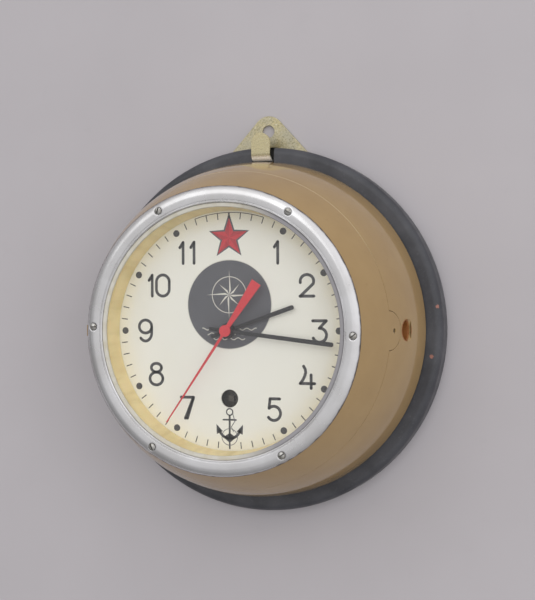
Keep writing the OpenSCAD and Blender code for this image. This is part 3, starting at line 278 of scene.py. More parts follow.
# %% Specks of paint
PLACED_SPECKS = [((0.1021, -0.0135, 0.0126), 0.0011), ((0.0987, -0.014, -0.0151), 0.0012)]
SPECK_EDGE = (0.0008, 0.0005)
SPECK_RAGGED = 0.0016
CELL_SCALE = 55.0
CELL_SPECK = (0.05, 0.035)
CELL_LOT = (0.93, 0.94)


def paint_specks(mat):
    """1 on a speck and 0 elsewhere: one cell in about fifteen holds a speck, and two are placed."""
    where = place(mat)
    voronoi = add(mat, "ShaderNodeTexVoronoi", {"Vector": where, "Scale": CELL_SCALE, "Randomness": 1.0})
    near = remap(mat, voronoi.outputs["Distance"], *CELL_SPECK)
    lot = add(mat, "ShaderNodeSeparateColor", {"Color": voronoi.outputs["Color"]}).outputs["Red"]
    speck = multiply(mat, near, remap(mat, lot, *CELL_LOT))
    for spot, radius in PLACED_SPECKS:
        ragged = multiply(mat, noise(mat, scale=1500, detail=3), SPECK_RAGGED)
        gap = math_node(mat, "ADD", measure(mat, "DISTANCE", where, spot), ragged)
        here = remap(mat, gap, *(radius + margin for margin in SPECK_EDGE))
        speck = math_node(mat, "MAXIMUM", speck, here)
    return speck


print("placed specks:", len(PLACED_SPECKS))


# %% Black ring
def make_ring():
    mat = material("phenolic moulding, worn black")
    greyed = patches(mat, scale=60, detail=6, low=0.35, high=0.75)
    dust = patches(mat, scale=900, detail=6, low=0.58, high=0.75, amount=0.35, rough=0.7)
    specks = paint_specks(mat)
    tone = layered(mat, "#34353a", (greyed, "#4a4b50"), (dust, "#77787b"), (specks, "#98675a"))
    rough = uneven(mat, scale=140, detail=6, least=0.34, most=0.52)
    normal = grained(mat, scale=2600, detail=3, depth=3 * FINEST, strength=0.35)
    return coat(mat, tone, rough, normal, index=1.55)


ring_black = make_ring()
print("base ring:", ring_black.name)

# %% [markdown]
# ## Plain metals
# Steel and brass differ in colour and in how they wear. A noise that is drawn out along some axes gives
# the lines that turning or brushing leaves. Slots and corners get painted shade where ambient occlusion
# finds them, which saves placing each one.

# %% Steel and brass
CORNER_SHADE = (0.85, 0.55)
EVEN_GRAIN = (900, 900, 900)
TURNED = (400, 3000, 400)
BRUSHED = (2500, 300, 2500)
GLOSS_PATCHES = 1.7


def make_metal(name, base, worn, gloss, grain=EVEN_GRAIN, wear_scale=220, wear=0.5, corner_shade_depth=0.0):
    """gloss is the least and the most roughness; corner_shade_depth is how deep a corner gets painted shade.
    """
    mat = material(name)
    layers = [(patches(mat, wear_scale, detail=6, low=0.45, high=0.75, amount=wear), worn)]
    # Painted shade: darker in slots and corners that ambient occlusion finds.
    if corner_shade_depth:
        open_air = add(mat, "ShaderNodeAmbientOcclusion", {"Distance": corner_shade_depth}).outputs["AO"]
        layers.append((remap(mat, open_air, *CORNER_SHADE), "#2b2824"))
    rough = uneven(mat, wear_scale * GLOSS_PATCHES, 5, *gloss)
    lines = noise(mat, scale=1, detail=3, rough=0.5, where=stretched(mat, *grain))
    return metal(mat, layered(mat, base, *layers), rough, bump(mat, lines, depth=FINEST, strength=0.3))


steel = make_metal("steel, turned and polished", "#b9bbbd", "#8e8f90", (0.18, 0.34), TURNED)
spring_steel = make_metal("spring steel, tempered blue", "#4d5a78", "#38415a", (0.2, 0.32))
# Its darkness is partly painted shade, on the winding arbor seen through the dial's hole; the strike rivet
# is dark steel.
dark_steel = make_metal("steel, blackened with old oil", "#57534c", "#322e29", (0.35, 0.5))
nickel = make_metal("nickel plated steel, worn", "#c3c2be", "#8b8474", (0.2, 0.32), wear_scale=500,
                    wear=0.8, corner_shade_depth=0.6 * MM)
brass = make_metal("brass, brushed", "#cfae62", "#a98544", (0.2, 0.38), BRUSHED)
old_brass = make_metal("brass, tarnished", "#9a6230", "#5e3a1c", (0.3, 0.5))
# Painted shade: the front plate, seen only through the winding hole, is coloured near black.
brass_in_painted_shade = make_metal("brass, dull under the dial", "#3f3a30", "#2e2a22", (0.4, 0.55))
plain_metals = (steel, spring_steel, dark_steel, nickel, brass, old_brass, brass_in_painted_shade)
print("plain metals:", ", ".join(m.name.split(",")[0] for m in plain_metals))

# %% [markdown]
# ## Chromed bezel
# The bezel is pressed and plated. Pits show where the chromium let water through, a faint haze dulls its
# mirror, and its outer edge is darker. A real bezel is one soft curve from edge to edge,
# which would take many thin bands of faces. Here a bevel node rounds the edges in the shading, and a bump
# that grows with the square of the distance from the crown's top bends the mirror image across it.

# %% Rounded crown
CROWN_R = 0.0696
CROWN_HALF = 0.0071
CROWN_DEPTH = -0.8 * MM
ROUNDING_BLEND = 0.0015
ROUNDING = (0.3 * MM, 1.4 * MM)


def rounded_crown(mat, radius):
    softness = remap(mat, radius, CROWN_R, CROWN_R + ROUNDING_BLEND, *ROUNDING)
    rounded = add(mat, "ShaderNodeBevel", {"Radius": softness}, samples=8).outputs["Normal"]
    off_crown = math_node(mat, "DIVIDE", math_node(mat, "SUBTRACT", radius, CROWN_R), CROWN_HALF)
    squared = math_node(mat, "POWER", off_crown, 2.0)
    return bump(mat, squared, depth=CROWN_DEPTH, strength=1.0, over=rounded)


print("crown's top at a radius of", round(CROWN_R / MM, 1), "mm")

# %% Chromium plate
DARK_RIM_EDGE = (0.0768, 0.0773)
DARK_RIM_RAGGED = 0.0012
DARK_RIM_AMOUNT = 0.85
CLEAR_CHROME = 0.2
HAZY_CHROME = 0.32
PIT_ROUGH = 0.5


def make_chrome():
    mat = material("chromium plate, pitted")
    radius = dial_radius(mat)
    pits = patches(mat, scale=1300, detail=8, low=0.61, high=0.7, rough=0.75)
    stain = multiply(mat, pits, patches(mat, scale=70, detail=4, low=0.42, high=0.68))
    haze = patches(mat, scale=45, detail=3, low=0.35, high=0.7, rough=0.5)
    # Darker towards the outer edge, with a ragged border.
    ragged = math_node(mat, "ADD", radius, multiply(mat, noise(mat, scale=240, detail=4), DARK_RIM_RAGGED))
    worn = remap(mat, ragged, *DARK_RIM_EDGE, 0, DARK_RIM_AMOUNT)
    tone = layered(mat, "#efeff0", (haze, "#dad9d8"), (stain, "#7c7468"), (worn, "#4a4038"))
    sunk = multiply(mat, stain, PIT_ROUGH)
    rough = math_node(mat, "MAXIMUM", between(mat, haze, CLEAR_CHROME, HAZY_CHROME), sunk)
    relief = math_node(mat, "SUBTRACT", noise(mat, scale=120, detail=1), sunk)
    normal = bump(mat, relief, depth=3 * FINEST, strength=0.2, over=rounded_crown(mat, radius))
    return metal(mat, tone, rough, normal)


chrome = make_chrome()
print("bezel:", chrome.name)

# %% [markdown]
# ## Hanger: zinc under yellow chromate
# The hanger's yellow film is uneven and speckled, and it reflects less than bare metal. Its tongue stands
# in front of the plate, where it is rubbed and plainer. At the foot it bends over the ring, and there a
# painted highlight gives a pale band. Both masks come from the position alone, so the sheet stays one piece.

# %% Yellow chromate
TONGUE_BACK_Y = -0.0095
TONGUE_BLEND = 0.001
TONGUE_RUBBED = 0.6
TONGUE_POLISH = 0.06
BEND_TOP_Z = 0.1002
BEND_BLEND = 0.0015
FLECK_AMOUNT = 0.75
FILM_METAL = 0.85
BEND_METAL = 0.15


def make_chromate():
    mat = material("zinc plated steel, yellow chromate")
    drift = patches(mat, scale=110, detail=4, low=0.35, high=0.68)
    flecks = patches(mat, scale=1600, detail=6, low=0.5, high=0.62, rough=0.7)
    pale = patches(mat, scale=800, detail=6, low=0.56, high=0.66, amount=0.8, rough=0.7)
    tongue = remap(mat, axis(mat, "Y"), TONGUE_BACK_Y, TONGUE_BACK_Y - TONGUE_BLEND)
    # Painted highlight: a pale, less metallic band where the tongue bends over the ring.
    bend = multiply(mat, tongue, remap(mat, axis(mat, "Z"), BEND_TOP_Z, BEND_TOP_Z - BEND_BLEND))
    film = [(drift, "#bcb69e"), (multiply(mat, flecks, FLECK_AMOUNT), "#6b6750"), (pale, "#e6e2cc")]
    marks_with_highlight = [(multiply(mat, tongue, TONGUE_RUBBED), "#c6bb94"), (bend, "#fffbf0")]
    tone = layered(mat, "#c8bd95", *film, *marks_with_highlight)
    speckled = between(mat, flecks, bare=0.3, covered=0.5)
    rough = math_node(mat, "SUBTRACT", speckled, multiply(mat, tongue, TONGUE_POLISH))
    normal = bump(mat, flecks, depth=4 * FINEST, strength=0.4)
    return metal(mat, tone, rough, normal, metallic=between(mat, bend, FILM_METAL, BEND_METAL))


chromate = make_chromate()
print("hanger:", chromate.name)

# %% [markdown]
# ## Dial, reflector and gasket
# The dial is sheet metal under matt cream paint, which has yellowed a little towards the rim. The ring
# between the glass and the dial was white plastic: it has gone the colour of straw, with brown runs that
# follow its height, so its noise is drawn out along Y. The rubber gasket has aged, and its right side is
# greyed as painted shade from the bezel. Distance from the axis or from one side drives each change.

# %% Dial paint
DIAL_RIM = (0.062, 0.078)
RIM_RAGGED = 0.012
DIAL_ROUGH = 0.55


def make_dial():
    mat = material("matt cream enamel paint")
    ragged = multiply(mat, noise(mat, scale=60, detail=3), RIM_RAGGED)
    rim = remap(mat, math_node(mat, "ADD", dial_radius(mat), ragged), *DIAL_RIM)
    cloud = patches(mat, scale=45, detail=5, low=0.45, high=0.75, amount=0.35)
    spots = patches(mat, scale=1700, detail=4, low=0.7, high=0.76, amount=0.3, rough=0.6)
    tone = layered(mat, "#ecebe1", (rim, "#efe8cc"), (cloud, "#e6e4d6"), (spots, "#a79d7c"))
    return coat(mat, tone, DIAL_ROUGH, grained(mat, scale=2400, detail=2, depth=FINEST, strength=0.2))


dial_paint = make_dial()
print("dial:", dial_paint.name)

# %% Yellowed reflector and aged gasket
RUNS = (170, 12, 170)
RUN_AMOUNT = 0.4
PAINTED_SHADE_X = (0.008, 0.032)
GASKET_ROUGH = 0.6


def make_reflector():
    mat = material("white polystyrene, yellowed")
    streaks = noise(mat, scale=1, detail=4, rough=0.6, where=stretched(mat, *RUNS))
    runs = remap(mat, streaks, low=0.48, high=0.78)
    straw = patches(mat, scale=50, detail=3, low=0.35, high=0.7)
    tone = layered(mat, "#eedba2", (straw, "#e2cc90"), (multiply(mat, runs, RUN_AMOUNT), "#b09550"))
    rough = between(mat, runs, bare=0.3, covered=0.5)
    milky = {"IOR": 1.55, "Subsurface Weight": 0.1, "Subsurface Scale": MM}
    return finish_shader(mat, principled(mat, tone, rough, milky))


def make_gasket():
    mat = material("white rubber, aged")
    aged = patches(mat, scale=180, detail=5, low=0.4, high=0.7)
    # Painted shade: greyer towards the right, where the bezel shades the gasket.
    painted_shade_side = remap(mat, axis(mat, "X"), *PAINTED_SHADE_X)
    tone = layered(mat, "#cbc8bd", (aged, "#bfb9a6"), (painted_shade_side, "#949295"))
    normal = grained(mat, scale=1500, detail=3, depth=3 * FINEST, strength=0.4)
    return coat(mat, tone, GASKET_ROUGH, normal, index=1.52)


reflector = make_reflector()
gasket = make_gasket()
print("at the glass:", reflector.name, "and", gasket.name)

# %% [markdown]
# ## Glass
# A solid glass pane would leave the dial in a noisy shade, because light that bends through it is hard to
# sample. This flat pane lets shadow rays and diffuse rays straight through, so the dial behind it is lit
# as brightly as a real one, while the camera still sees reflections and bending.

# %% Clear glass
PANE_TINT = (0.97, 0.97, 0.97, 1.0)


def make_glass():
    mat = material("soda lime glass, clear")
    smears = patches(mat, scale=90, detail=5, low=0.4, high=0.75, amount=0.02)
    clear = principled(mat, colour("#fdfdfc"), smears, {"IOR": 1.52, "Transmission Weight": 1.0})
    through = add(mat, "ShaderNodeBsdfTransparent", {"Color": PANE_TINT}).outputs["BSDF"]
    path = add(mat, "ShaderNodeLightPath").outputs
    either = math_node(mat, "MAXIMUM", path["Is Shadow Ray"], path["Is Diffuse Ray"])
    both = add(mat, "ShaderNodeMixShader", {0: either, 1: clear, 2: through})
    return finish_shader(mat, both.outputs["Shader"])


glass = make_glass()
print("pane:", glass.name)

# %% [markdown]
# ## Hands, printing ink and jewels
# The hands are thin stamped strips under satin lacquer, and the dial's marks are screen printed. One
# function serves them all, since they differ in colour and gloss alone. The jewels are synthetic ruby,
# which lets part of the light in.

# %% Satin paints
GLOSS_SPREAD = 0.06


def make_paint(name, base, shade, rough, scale=300):
    mat = material(name)
    shades = patches(mat, scale, detail=5, low=0.4, high=0.75, amount=0.5)
    gloss = uneven(mat, scale * 2, 4, least=rough - GLOSS_SPREAD, most=rough + GLOSS_SPREAD)
    normal = grained(mat, scale=3000, detail=2, depth=FINEST, strength=0.25)
    return coat(mat, layered(mat, base, (shades, shade)), gloss, normal)


hand_black = make_paint("satin black lacquer", "#1d1d20", "#2a2a2d", 0.34)
hand_red = make_paint("satin red lacquer", "#d0333c", "#b92a33", 0.36)
ink = make_paint("screen printed black ink", "#3c3c3e", "#49494b", 0.5)
ink_grey = make_paint("screen printed grey ink", "#54555a", "#5f6066", 0.5)
ink_red = make_paint("screen printed red ink", "#c6333d", "#b32d37", 0.5)
ink_dark_red = make_paint("screen printed dark red ink", "#b02b35", "#a02831", 0.5)
ink_pale = make_paint("screen printed cream ink", "#d8d6cb", "#c9c6b8", 0.55)
grey_plastic = make_paint("grey moulded plastic", "#8f8a80", "#827d74", 0.45, scale=150)
print("inks:", ", ".join(m.name for m in (ink, ink_grey, ink_red, ink_dark_red, ink_pale)))


# %% Ruby
def make_ruby():
    mat = material("synthetic ruby")
    deeper = patches(mat, scale=900, detail=3, low=0.35, high=0.7)
    tone = layered(mat, "#b3234a", (deeper, "#8d1738"))
    clear = {"IOR": 1.77, "Transmission Weight": 0.4}
    return finish_shader(mat, principled(mat, tone, rough=0.05, more=clear))


ruby = make_ruby()
print("jewels:", ruby.name)

# %% [markdown]
# ## Dressing the parts
# Each solid part takes one finish. The table below is read as "these parts are made of this". The line
# that the cell prints names any part that was forgotten.

# %% Finishes by part
FINISHES = [
    (casing, ["rear_casing", "front_casing"]),
    (ring_black, ["base_ring", "back_cover"]),
    (chromate, ["hanger_plate", "strike_hook"]),
    (chrome, ["bezel"]),
    (nickel, ["bezel_screws"]),
    (dark_steel, ["strike_rivet", "winding_arbor"]),
    (brass_in_painted_shade, ["front_plate"]),
    (glass, ["glass"]),
    (gasket, ["glass_gasket"]),
    (reflector, ["reflector_ring"]),
    (dial_paint, ["dial"]),
    (hand_black, ["hour_hand", "minute_hand"]),
    (hand_red, ["seconds_hand"]),
    (grey_plastic, ["dial_support"]),
    (old_brass, ["lock_bush"]),
    (spring_steel, ["mainspring", "click_spring", "hairspring"]),
    (ruby, ["jewels", "balance_roller"]),
    (brass, ["rear_plate", "pillars", "escapement_bridge", "balance_cock", "barrel", "barrel_cover",
             "intermediate_wheel", "centre_wheel", "minute_wheel", "hour_wheel", "third_wheel",
             "seconds_wheel", "escape_wheel", "balance_wheel"]),
    (steel, ["back_cover_screws", "hanger_rivets", "casing_screws", "hinge_pin", "lock_spindle",
             "lock_cam", "movement_carrier", "carrier_screws", "pillar_screws", "plate_screws",
             "ratchet_wheel", "click", "click_screw", "cannon_pinion", "pallet_lever", "bridge_screws"]),
]
dressed = set()
for mat, names in FINISHES:
    for name in names:
        part = nodes[name]
        part.data.materials.clear()
        part.data.materials.append(mat)
        dressed.add(name)
print("dressed", len(dressed), "of", len(nodes), "parts; left:", sorted(set(nodes) - dressed))

# %% [markdown]
# ## Printing the dial
# The marks are flat shapes that lie a few hundredths of a millimetre in front of the paint, like screen
# printing ink. An image texture would blur close up, and a few polygons stay sharp. They are drawn in
# millimetres on a dial that lies flat, x to 3 o'clock and y to 12, and stood up on the dial's face.

# %% Paths
MINUTE = 6


def turns(steps):
    """The angles of a full turn in equal steps."""
    return [math.tau * i / steps for i in range(steps)]


def polar(radius, degrees, x=0.0, y=0.0):
    """The point at that radius and angle, counterclockwise from the right, round x, y."""
    angle = math.radians(degrees)
    return x + radius * math.cos(angle), y + radius * math.sin(angle)


def clock(radius, minutes):
    """The point at that radius and minute mark."""
    return polar(radius, 90 - MINUTE * minutes)


def arc(x, y, rx, ry, start, end, steps=20):
    """Points on an ellipse, angles in degrees counterclockwise from the right."""
    angles = [math.radians(start + (end - start) * i / steps) for i in range(steps + 1)]
    return [(x + rx * math.cos(a), y + ry * math.sin(a)) for a in angles]


print("the mark at 3 o'clock lies at", [round(c, 2) for c in clock(1, 15)])

# %% Printing
dial_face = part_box("dial")[0].y
INK_STEP = 0.02 * MM
SHARPEST_BEND = 0.4
printed = []


class Print:
    """Collects flat outlines in dial millimetres and turns them into one piece of printing."""

    slot = "dial_paint"
    body = "case"

    def __init__(self, name, mat, layer):
        self.name = name
        self.mat = mat
        self.y = dial_face - INK_STEP * layer
        self.mesh = bmesh.new()

    def shape(self, outline):
        corners = [self.mesh.verts.new((x * MM, self.y, y * MM)) for x, y in outline]
        self.mesh.faces.new(corners)

    def disc(self, x, y, radius, steps=48):
        self.shape([(x + radius * math.cos(a), y + radius * math.sin(a)) for a in turns(steps)])

    def ring(self, x, y, outer, inner, start=0.0, end=360.0, steps=96):
        """A band between two radii; a full circle has that many steps, and an arc its share."""
        count = max(2, round(steps * abs(end - start) / 360))
        outside = arc(x, y, outer, outer, start, end, count)
        inside = arc(x, y, inner, inner, start, end, count)
        for i in range(count):
            self.shape([outside[i], outside[i + 1], inside[i + 1], inside[i]])

    def stroke(self, path, width, caps=True):
        """A line of even width through the points of path, with mitred bends and round ends."""
        points = [Vector(p) for p in path]
        left = []
        right = []
        for i, p in enumerate(points):
            before = (p - points[i - 1]).normalized() if i else None
            after = (points[i + 1] - p).normalized() if i + 1 < len(points) else None
            along = ((before or after) + (after or before)).normalized()
            across = Vector((-along.y, along.x))
            bend = max(SHARPEST_BEND, abs(along.dot(after or before)))
            left.append(p + across * width / 2 / bend)
            right.append(p - across * width / 2 / bend)
        for i in range(len(points) - 1):
            self.shape([left[i], left[i + 1], right[i + 1], right[i]])
        if caps:
            self.disc(*points[0], width / 2, 20)
            self.disc(*points[-1], width / 2, 20)

    def done(self):
        """All faces look out of the dial, and the piece rides on the case."""
        bmesh.ops.recalc_face_normals(self.mesh, faces=self.mesh.faces)
        for face in self.mesh.faces:
            if face.normal.y > 0:
                face.normal_flip()
        data = bpy.data.meshes.new(self.name)
        self.mesh.to_mesh(data)
        self.mesh.free()
        data.materials.append(self.mat)
        piece = bpy.data.objects.new(self.name, data)
        bpy.context.scene.collection.objects.link(piece)
        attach(piece, self.body)
        printed.append(piece)


print("dial face at y =", round(dial_face / MM, 2), "mm")

# %% [markdown]
# ### Minute track
# Ticks and ten round hour dots run along the rim. At 12 and at 6 a wider tick stands in the dot's place. A
# thin arc joins the ticks from three minutes before the hour to three minutes after it, the span in which
# ships once kept radio silence.

# %% Ticks, dots and arc
TICK_IN = 60.0
TICK_OUT = 63.5
TICK_WIDTH = 0.55
WIDE_TICK = 0.9
DOT_AT = 61.0
DOT_R = 1.85
ARC_OUTER = 63.75
ARC_INNER = 63.35
SILENT_MINUTES = 3
track = Print("dial_minute_track", ink, 1)
for m in range(60):
    if m % 5 or m in (0, 30):
        tick = [clock(TICK_IN, m), clock(TICK_OUT, m)]
        track.stroke(tick, TICK_WIDTH if m % 5 else WIDE_TICK, caps=False)
    else:
        track.disc(*clock(DOT_AT, m), DOT_R)
silence = MINUTE * SILENT_MINUTES
track.ring(0, 0, ARC_OUTER, ARC_INNER, 90 - silence, 90 + silence)
track.done()
print("minute track out to", ARC_OUTER, "mm")

# %% [markdown]
# ### Numerals
# The figures are a plain thin sans face. Each is a few strokes about its own centre, some 13 mm tall, so
# the set needs no font: straight lines for the stems and pieces of ellipses for the bowls. There is no 12
# and no 6, because the star and the anchor stand there.

# %% Figures
FIGURE_STROKE = 1.6
FIGURES = {
    "0": [arc(0, 2.0, 3.8, 3.75, 0, 180, 24) + arc(0, -2.0, 3.8, 3.75, 180, 360, 24) + [(3.8, 2.0)]],
    "1": [[(-1.4, 2.9), (0.4, 5.6)], [(0.5, 5.7), (0.5, -5.7)]],
    "2": [arc(0, 2.3, 3.7, 3.45, 192, -25, 28) + [(-3.4, -5.4)], [(-3.8, -5.6), (3.8, -5.6)]],
    "3": [[(-3.7, 5.6), (3.7, 5.6)], [(3.5, 5.4), (-0.1, 1.7)],
          [(-0.1, 1.7)] + arc(0, -1.95, 3.8, 3.7, 80, -155, 28)],
    "4": [[(-2.0, 5.8), (-1.1, 4.2), (-0.9, 2.4), (-1.4, 0.6), (-2.4, -1.4), (-3.8, -3.2)],
          [(-3.9, -3.3), (4.0, -3.3)], [(2.1, 1.2), (2.1, -5.8)]],
    "5": [[(3.0, 5.7), (-2.3, 5.7)], [(-2.3, 5.7), (-2.9, 0.7)],
          [(-2.9, 0.7)] + arc(-0.2, -2.0, 3.7, 3.75, 125, -145, 28)],
    "7": [[(-3.6, 5.7), (3.6, 5.7)], [(3.4, 5.4), (-1.2, -5.7)], [(3.6, 5.4), (0.0, -5.7)]],
    "8": [arc(0, 3.6, 3.0, 2.35, 0, 360, 40), arc(0, -2.35, 3.8, 3.45, 0, 360, 44)],
    "9": [arc(0, 2.2, 3.7, 3.55, 0, 360, 44), [(3.7, 2.2)] + arc(0, -1.2, 3.7, 4.55, 0, -140, 24)],
}
PLACES = {
    "1": (27.0, 41.6), "2": (43.6, 23.9), "3": (50.4, -0.3), "4": (43.6, -24.4), "5": (25.2, -41.8),
    "7": (-24.4, -41.8), "8": (-42.6, -23.9), "9": (-49.0, 0.0), "10": (-42.0, 24.6), "11": (-23.9, 42.2),
}
HALF_SPREAD = {"10": 3.4, "11": 3.2}
numerals = Print("dial_numerals", ink, 2)
for label, (cx, cy) in PLACES.items():
    for i, figure in enumerate(label):
        shift = HALF_SPREAD.get(label, 0) * (2 * i - 1)
        for path in FIGURES[figure]:
            numerals.stroke([(cx + shift + x, cy + y) for x, y in path], FIGURE_STROKE)
numerals.done()
print("figures:", ", ".join(PLACES))

# %% [markdown]
# ### Star
# A five point star stands at 12, in ten facets of two reds, so that it looks folded, with a grey edge
# behind it. Each facet is a triangle from the middle to one point and one notch.

# %% Star facets
STAR_R = 10.7
STAR_Y = 50.0
STAR_NOTCH = 0.382
EDGE_WIDTH = 1.4
EDGE_NOTCH = STAR_NOTCH + 0.05
TOP_LONGER = 1.4


def star_point(i, reach, notch):
    """Corner i of the star: even ones are points at reach, odd ones are notches."""
    return polar(reach * (notch if i % 2 else 1), 90 + 36 * i, 0, STAR_Y)


edge = Print("dial_star_edge", ink_grey, 1)
light = Print("dial_star_light", ink_red, 2)
dark = Print("dial_star_dark", ink_dark_red, 2)
outline = [star_point(i, STAR_R + EDGE_WIDTH, EDGE_NOTCH) for i in range(10)]
edge.shape([(outline[0][0], outline[0][1] + TOP_LONGER), *outline[1:]])
for i in range(10):
    facet = [(0, STAR_Y), star_point(i, STAR_R, STAR_NOTCH), star_point(i + 1, STAR_R, STAR_NOTCH)]
    (light if i % 2 else dark).shape(facet)
for star_print in (edge, light, dark):
    star_print.done()
print("star from", STAR_Y - STAR_R, "to", STAR_Y + STAR_R, "mm")

# %% [markdown]
# ### Grey disc with a compass rose and waves
# The real disc carries one maker's picture. In its place stand two plain ship's ornaments, an eight point
# compass rose and three lines of waves, so that the disc keeps its weight in the design.

# %% Disc, rose and waves
DISC_Y = 14.1
DISC_R = 24.1
DISC_STEPS = 128
RIM_OUT = 0.1
RIM_IN = 0.35
ROSE_Y = DISC_Y + 5.2
ROSE_RING = (9.9, 9.5)
LONG_RAY = 13.2
SHORT_RAY = 8.0
RAY_WAIST = 2.6
WAVE_HALVES = (15.5, 12.5, 9.0)
WAVE_TOP = DISC_Y - 13.2
WAVE_ROW = 2.6
WAVE_GAP = 5.2
WAVE_HEIGHT = 0.55
WAVE_LENGTH = 5.0
WAVE_WIDTH = 0.45
WAVE_STEPS = 24
disc = Print("dial_disc", ink_grey, 1)
disc.disc(0, DISC_Y, DISC_R, DISC_STEPS)
rim_line = Print("dial_disc_edge", ink_pale, 2)
rim_line.ring(0, DISC_Y, DISC_R + RIM_OUT, DISC_R - RIM_IN, steps=DISC_STEPS)
rose = Print("dial_compass_rose", ink_pale, 2)
rose.ring(0, ROSE_Y, *ROSE_RING)
for i in range(8):
    heading = 90 - 45 * i
    tip = polar(SHORT_RAY if i % 2 else LONG_RAY, heading, 0, ROSE_Y)
    flank = polar(RAY_WAIST, heading - 22.5, 0, ROSE_Y)
    rose.shape([(0, ROSE_Y), tip, flank])
waves = Print("dial_waves", ink_pale, 3)
for row, half in enumerate(WAVE_HALVES):
    start = 0.0 if row else WAVE_GAP
    crest = WAVE_TOP - WAVE_ROW * row
    along = [start + (half - start) * i / WAVE_STEPS for i in range(WAVE_STEPS + 1)]
    heights = [crest + WAVE_HEIGHT * math.cos(math.tau * x / WAVE_LENGTH) for x in along]
    for side in (-1, 1):
        waves.stroke([(side * x, y) for x, y in zip(along, heights)], WAVE_WIDTH, caps=False)
for disc_print in (disc, rim_line, rose, waves):
    disc_print.done()
print("disc:", 2 * DISC_R, "mm across, with", len(WAVE_HALVES), "rows of waves")

# %% [markdown]
# ### Anchor
# A foul anchor, the seaman's old badge, closes the design at 6: ring, shank, stock, arms with two flukes,
# and a rope that winds round the shank. Strokes and a few triangles are enough at this size.

# %% Foul anchor
EYE_Y = -43.6
EYE = (2.1, 1.4)
SHANK = [(0, -45.6), (0, -58.0)]
STOCK = [(-3.6, -47.8), (3.6, -47.8)]
ARMS = arc(0, -51.4, 6.2, 6.4, 200, 340, 28)
FLUKE = [(7.6, -50.2), (3.9, -54.0), (7.4, -55.6)]
FOOT = [(-3.6, -57.2), (0, -54.8), (3.6, -57.2), (0, -60.2)]
COIL_Y = -57.0
COIL = (4.6, 4.25)
ROPE = [(1.8, -44.6), (3.0, -48.6), (0.9, -51.6), (2.2, -54.0)]
ROPE_WIDTH = 0.4
anchor = Print("dial_anchor", ink, 2)
anchor.ring(0, EYE_Y, *EYE)
for path, width in ((SHANK, 1.1), (STOCK, 0.9), (ARMS, 1.5)):
    anchor.stroke(path, width)
for side in (-1, 1):
    anchor.shape([(side * x, y) for x, y in FLUKE])
anchor.shape(FOOT)
rope = Print("dial_anchor_rope", ink_grey, 3)
rope.ring(0, COIL_Y, *COIL, steps=64)
rope.stroke(ROPE, ROPE_WIDTH)
anchor.done()
rope.done()
print("dial printing:", len(printed), "pieces")

# %% [markdown]
# ## Wall
# The clock hangs on a wall of pale grey matt paint. A plain sheet would hide the clock's back, so it is
# clear when it is seen from behind, and it lets light through where a shadow ray meets it within a few
# millimetres. A small dark patch of painted shadow lies behind the hanger's window, which looks dark on
# the real clock.

# %% Painted wall
WALL_Y = 0.6 * MM
WALL_HALF = 2.4
BACK_REACH = 4 * MM
WINDOW_Z = 0.1014
WINDOW_R = 0.0062
WINDOW_EDGE = (1.05, 0.95)
WALL_ROUGH = 0.7


def make_wall():
    """Matt paint from the room's side, and clear from behind."""
    mat = material("matt wall paint, grey")
    clouds = patches(mat, scale=9, detail=3, low=0.35, high=0.7)
    marks = patches(mat, scale=70, detail=6, low=0.6, high=0.8, amount=0.3, rough=0.7)
    in_window_radii = stretched(mat, 1 / WINDOW_R, 1, 1 / WINDOW_R)
    off_window = measure(mat, "DISTANCE", in_window_radii, (0, 0, WINDOW_Z / WINDOW_R))
    # Painted shadow: a dark patch on the wall behind the hanger's window.
    gap = remap(mat, off_window, *WINDOW_EDGE)
    tone = layered(mat, "#b7b3b6", (clouds, "#b3afb2"), (marks, "#aca8ab"), (gap, "#1f1d1b"))
    normal = grained(mat, scale=700, detail=4, depth=4 * FINEST, strength=0.2)
    paint = principled(mat, tone, WALL_ROUGH, {"IOR": 1.5, "Normal": normal})
    path = add(mat, "ShaderNodeLightPath").outputs
    near = math_node(mat, "LESS_THAN", path["Ray Length"], BACK_REACH)
    lets_light_in = multiply(mat, near, path["Is Shadow Ray"])
    behind = add(mat, "ShaderNodeNewGeometry").outputs["Backfacing"]
    clear = add(mat, "ShaderNodeBsdfTransparent").outputs["BSDF"]
    either = math_node(mat, "MAXIMUM", behind, lets_light_in)
    both = add(mat, "ShaderNodeMixShader", {0: either, 1: paint, 2: clear})
    return finish_shader(mat, both.outputs["Shader"])


wall_mesh = bpy.data.meshes.new("wall")
wall_corners = [(x * WALL_HALF, WALL_Y, z * WALL_HALF) for x, z in ((-1, -1), (1, -1), (1, 1), (-1, 1))]
wall_mesh.from_pydata(wall_corners, [], [(0, 1, 2, 3)])
wall_mesh.materials.append(make_wall())
wall = bpy.data.objects.new("wall", wall_mesh)
bpy.context.scene.collection.objects.link(wall)
print("wall:", 2 * WALL_HALF, "m square")

# %% [markdown]
# ## Camera
# The camera stands to the right of the clock and nearly level with it, with a short telephoto lens, so
# that both the dial and the keyhole side show. Its place and its three angles were fitted to the
# photograph.

# %% Fitted camera
YAW, PITCH, ROLL = (math.radians(a) for a in (18.574, -0.282, -0.229))
CAMERA_AT = (0.241834, -0.724170, 0.012980)
LENS_MM = 87.48
SENSOR_MM = 36.0
forward = Vector((-math.sin(YAW) * math.cos(PITCH), math.cos(YAW) * math.cos(PITCH), -math.sin(PITCH)))
level = Vector((math.cos(YAW), math.sin(YAW), 0))
raised = level.cross(forward)
right = level * math.cos(ROLL) + raised * math.sin(ROLL)
up = raised * math.cos(ROLL) - level * math.sin(ROLL)
camera_data = bpy.data.cameras.new("camera")
camera_data.sensor_fit = "HORIZONTAL"
camera_data.sensor_width = SENSOR_MM
camera_data.lens = LENS_MM
camera_data.clip_start = 10 * MM
camera = bpy.data.objects.new("camera", camera_data)
axes = Matrix((right, up, -forward)).transposed()
camera.matrix_world = Matrix.Translation(CAMERA_AT) @ axes.to_4x4()
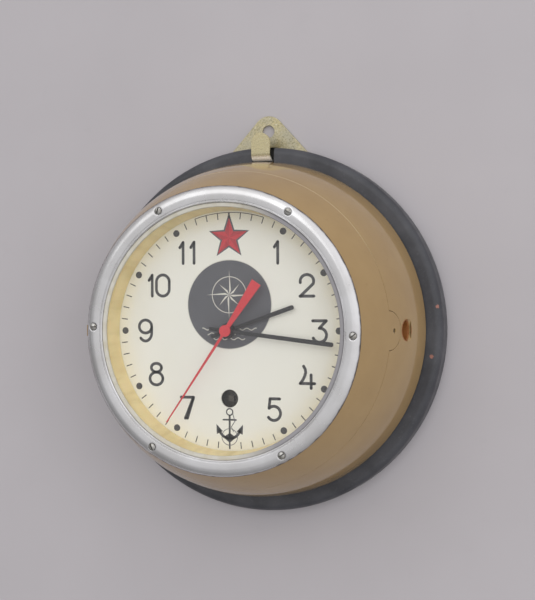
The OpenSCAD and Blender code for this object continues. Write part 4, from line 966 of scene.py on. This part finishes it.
bpy.context.scene.collection.objects.link(camera)
bpy.context.scene.camera = camera
print("camera", round(Vector(CAMERA_AT).length / MM), "mm from the clock")

# %% [markdown]
# ## Lamps and surroundings
# The photograph has the flat light of a bright room. A large lamp in front gives most of the lamps' light.
# It is kept out of mirror images, because its outline would cross the bezel as a hard white bar. A weaker
# lamp from the upper left may show there and gives a gentle sheen. A third lights the clock's back for
# views from behind. The bezel mirrors mostly the surroundings, which fade from bright at the upper right
# in front to dim at the lower left behind.


# %% Soft lamps
def lamp(name, at, size, power, mirrored=True, aim=(0, -0.04, 0)):
    data = bpy.data.lights.new(name, "AREA")
    data.shape = "RECTANGLE"
    data.size, data.size_y = size
    data.energy = power
    piece = bpy.data.objects.new(name, data)
    piece.location = at
    piece.rotation_euler = (Vector(aim) - Vector(at)).to_track_quat("-Z", "Y").to_euler()
    piece.visible_glossy = mirrored
    bpy.context.scene.collection.objects.link(piece)
    return piece


lamps = [
    lamp("key_left", at=(-0.9, -2.2, 1.4), size=(2.6, 2.0), power=9),
    lamp("front", at=(1.1, -2.5, 0.45), size=(3.6, 2.8), power=29, mirrored=False),
    lamp("back", at=(0.6, 2.2, 0.9), size=(2.4, 2.4), power=30),
]
print("lamps:", {piece.name: round(piece.data.energy) for piece in lamps}, "W")

# %% Surroundings
FADE = (-0.5, 1.0)
DIM = 0.33
BRIGHT = 1.2
BRIGHT_SIDE = (0.55, -0.5, 0.67)
SKY = (0.8, 0.79, 0.8, 1.0)
world = bpy.data.worlds.new("studio")
world.use_nodes = True
world.node_tree.nodes.clear()
direction = add(world, "ShaderNodeTexCoord").outputs["Generated"]
towards_bright = measure(world, "DOT_PRODUCT", direction, BRIGHT_SIDE)
brightness = remap(world, towards_bright, *FADE, DIM, BRIGHT)
sky = add(world, "ShaderNodeBackground", {"Color": SKY, "Strength": brightness})
add(world, "ShaderNodeOutputWorld", {"Surface": sky.outputs["Background"]})
bpy.context.scene.world = world
bpy.context.scene.view_settings.view_transform = "Standard"
print("surroundings from", DIM, "to", BRIGHT)
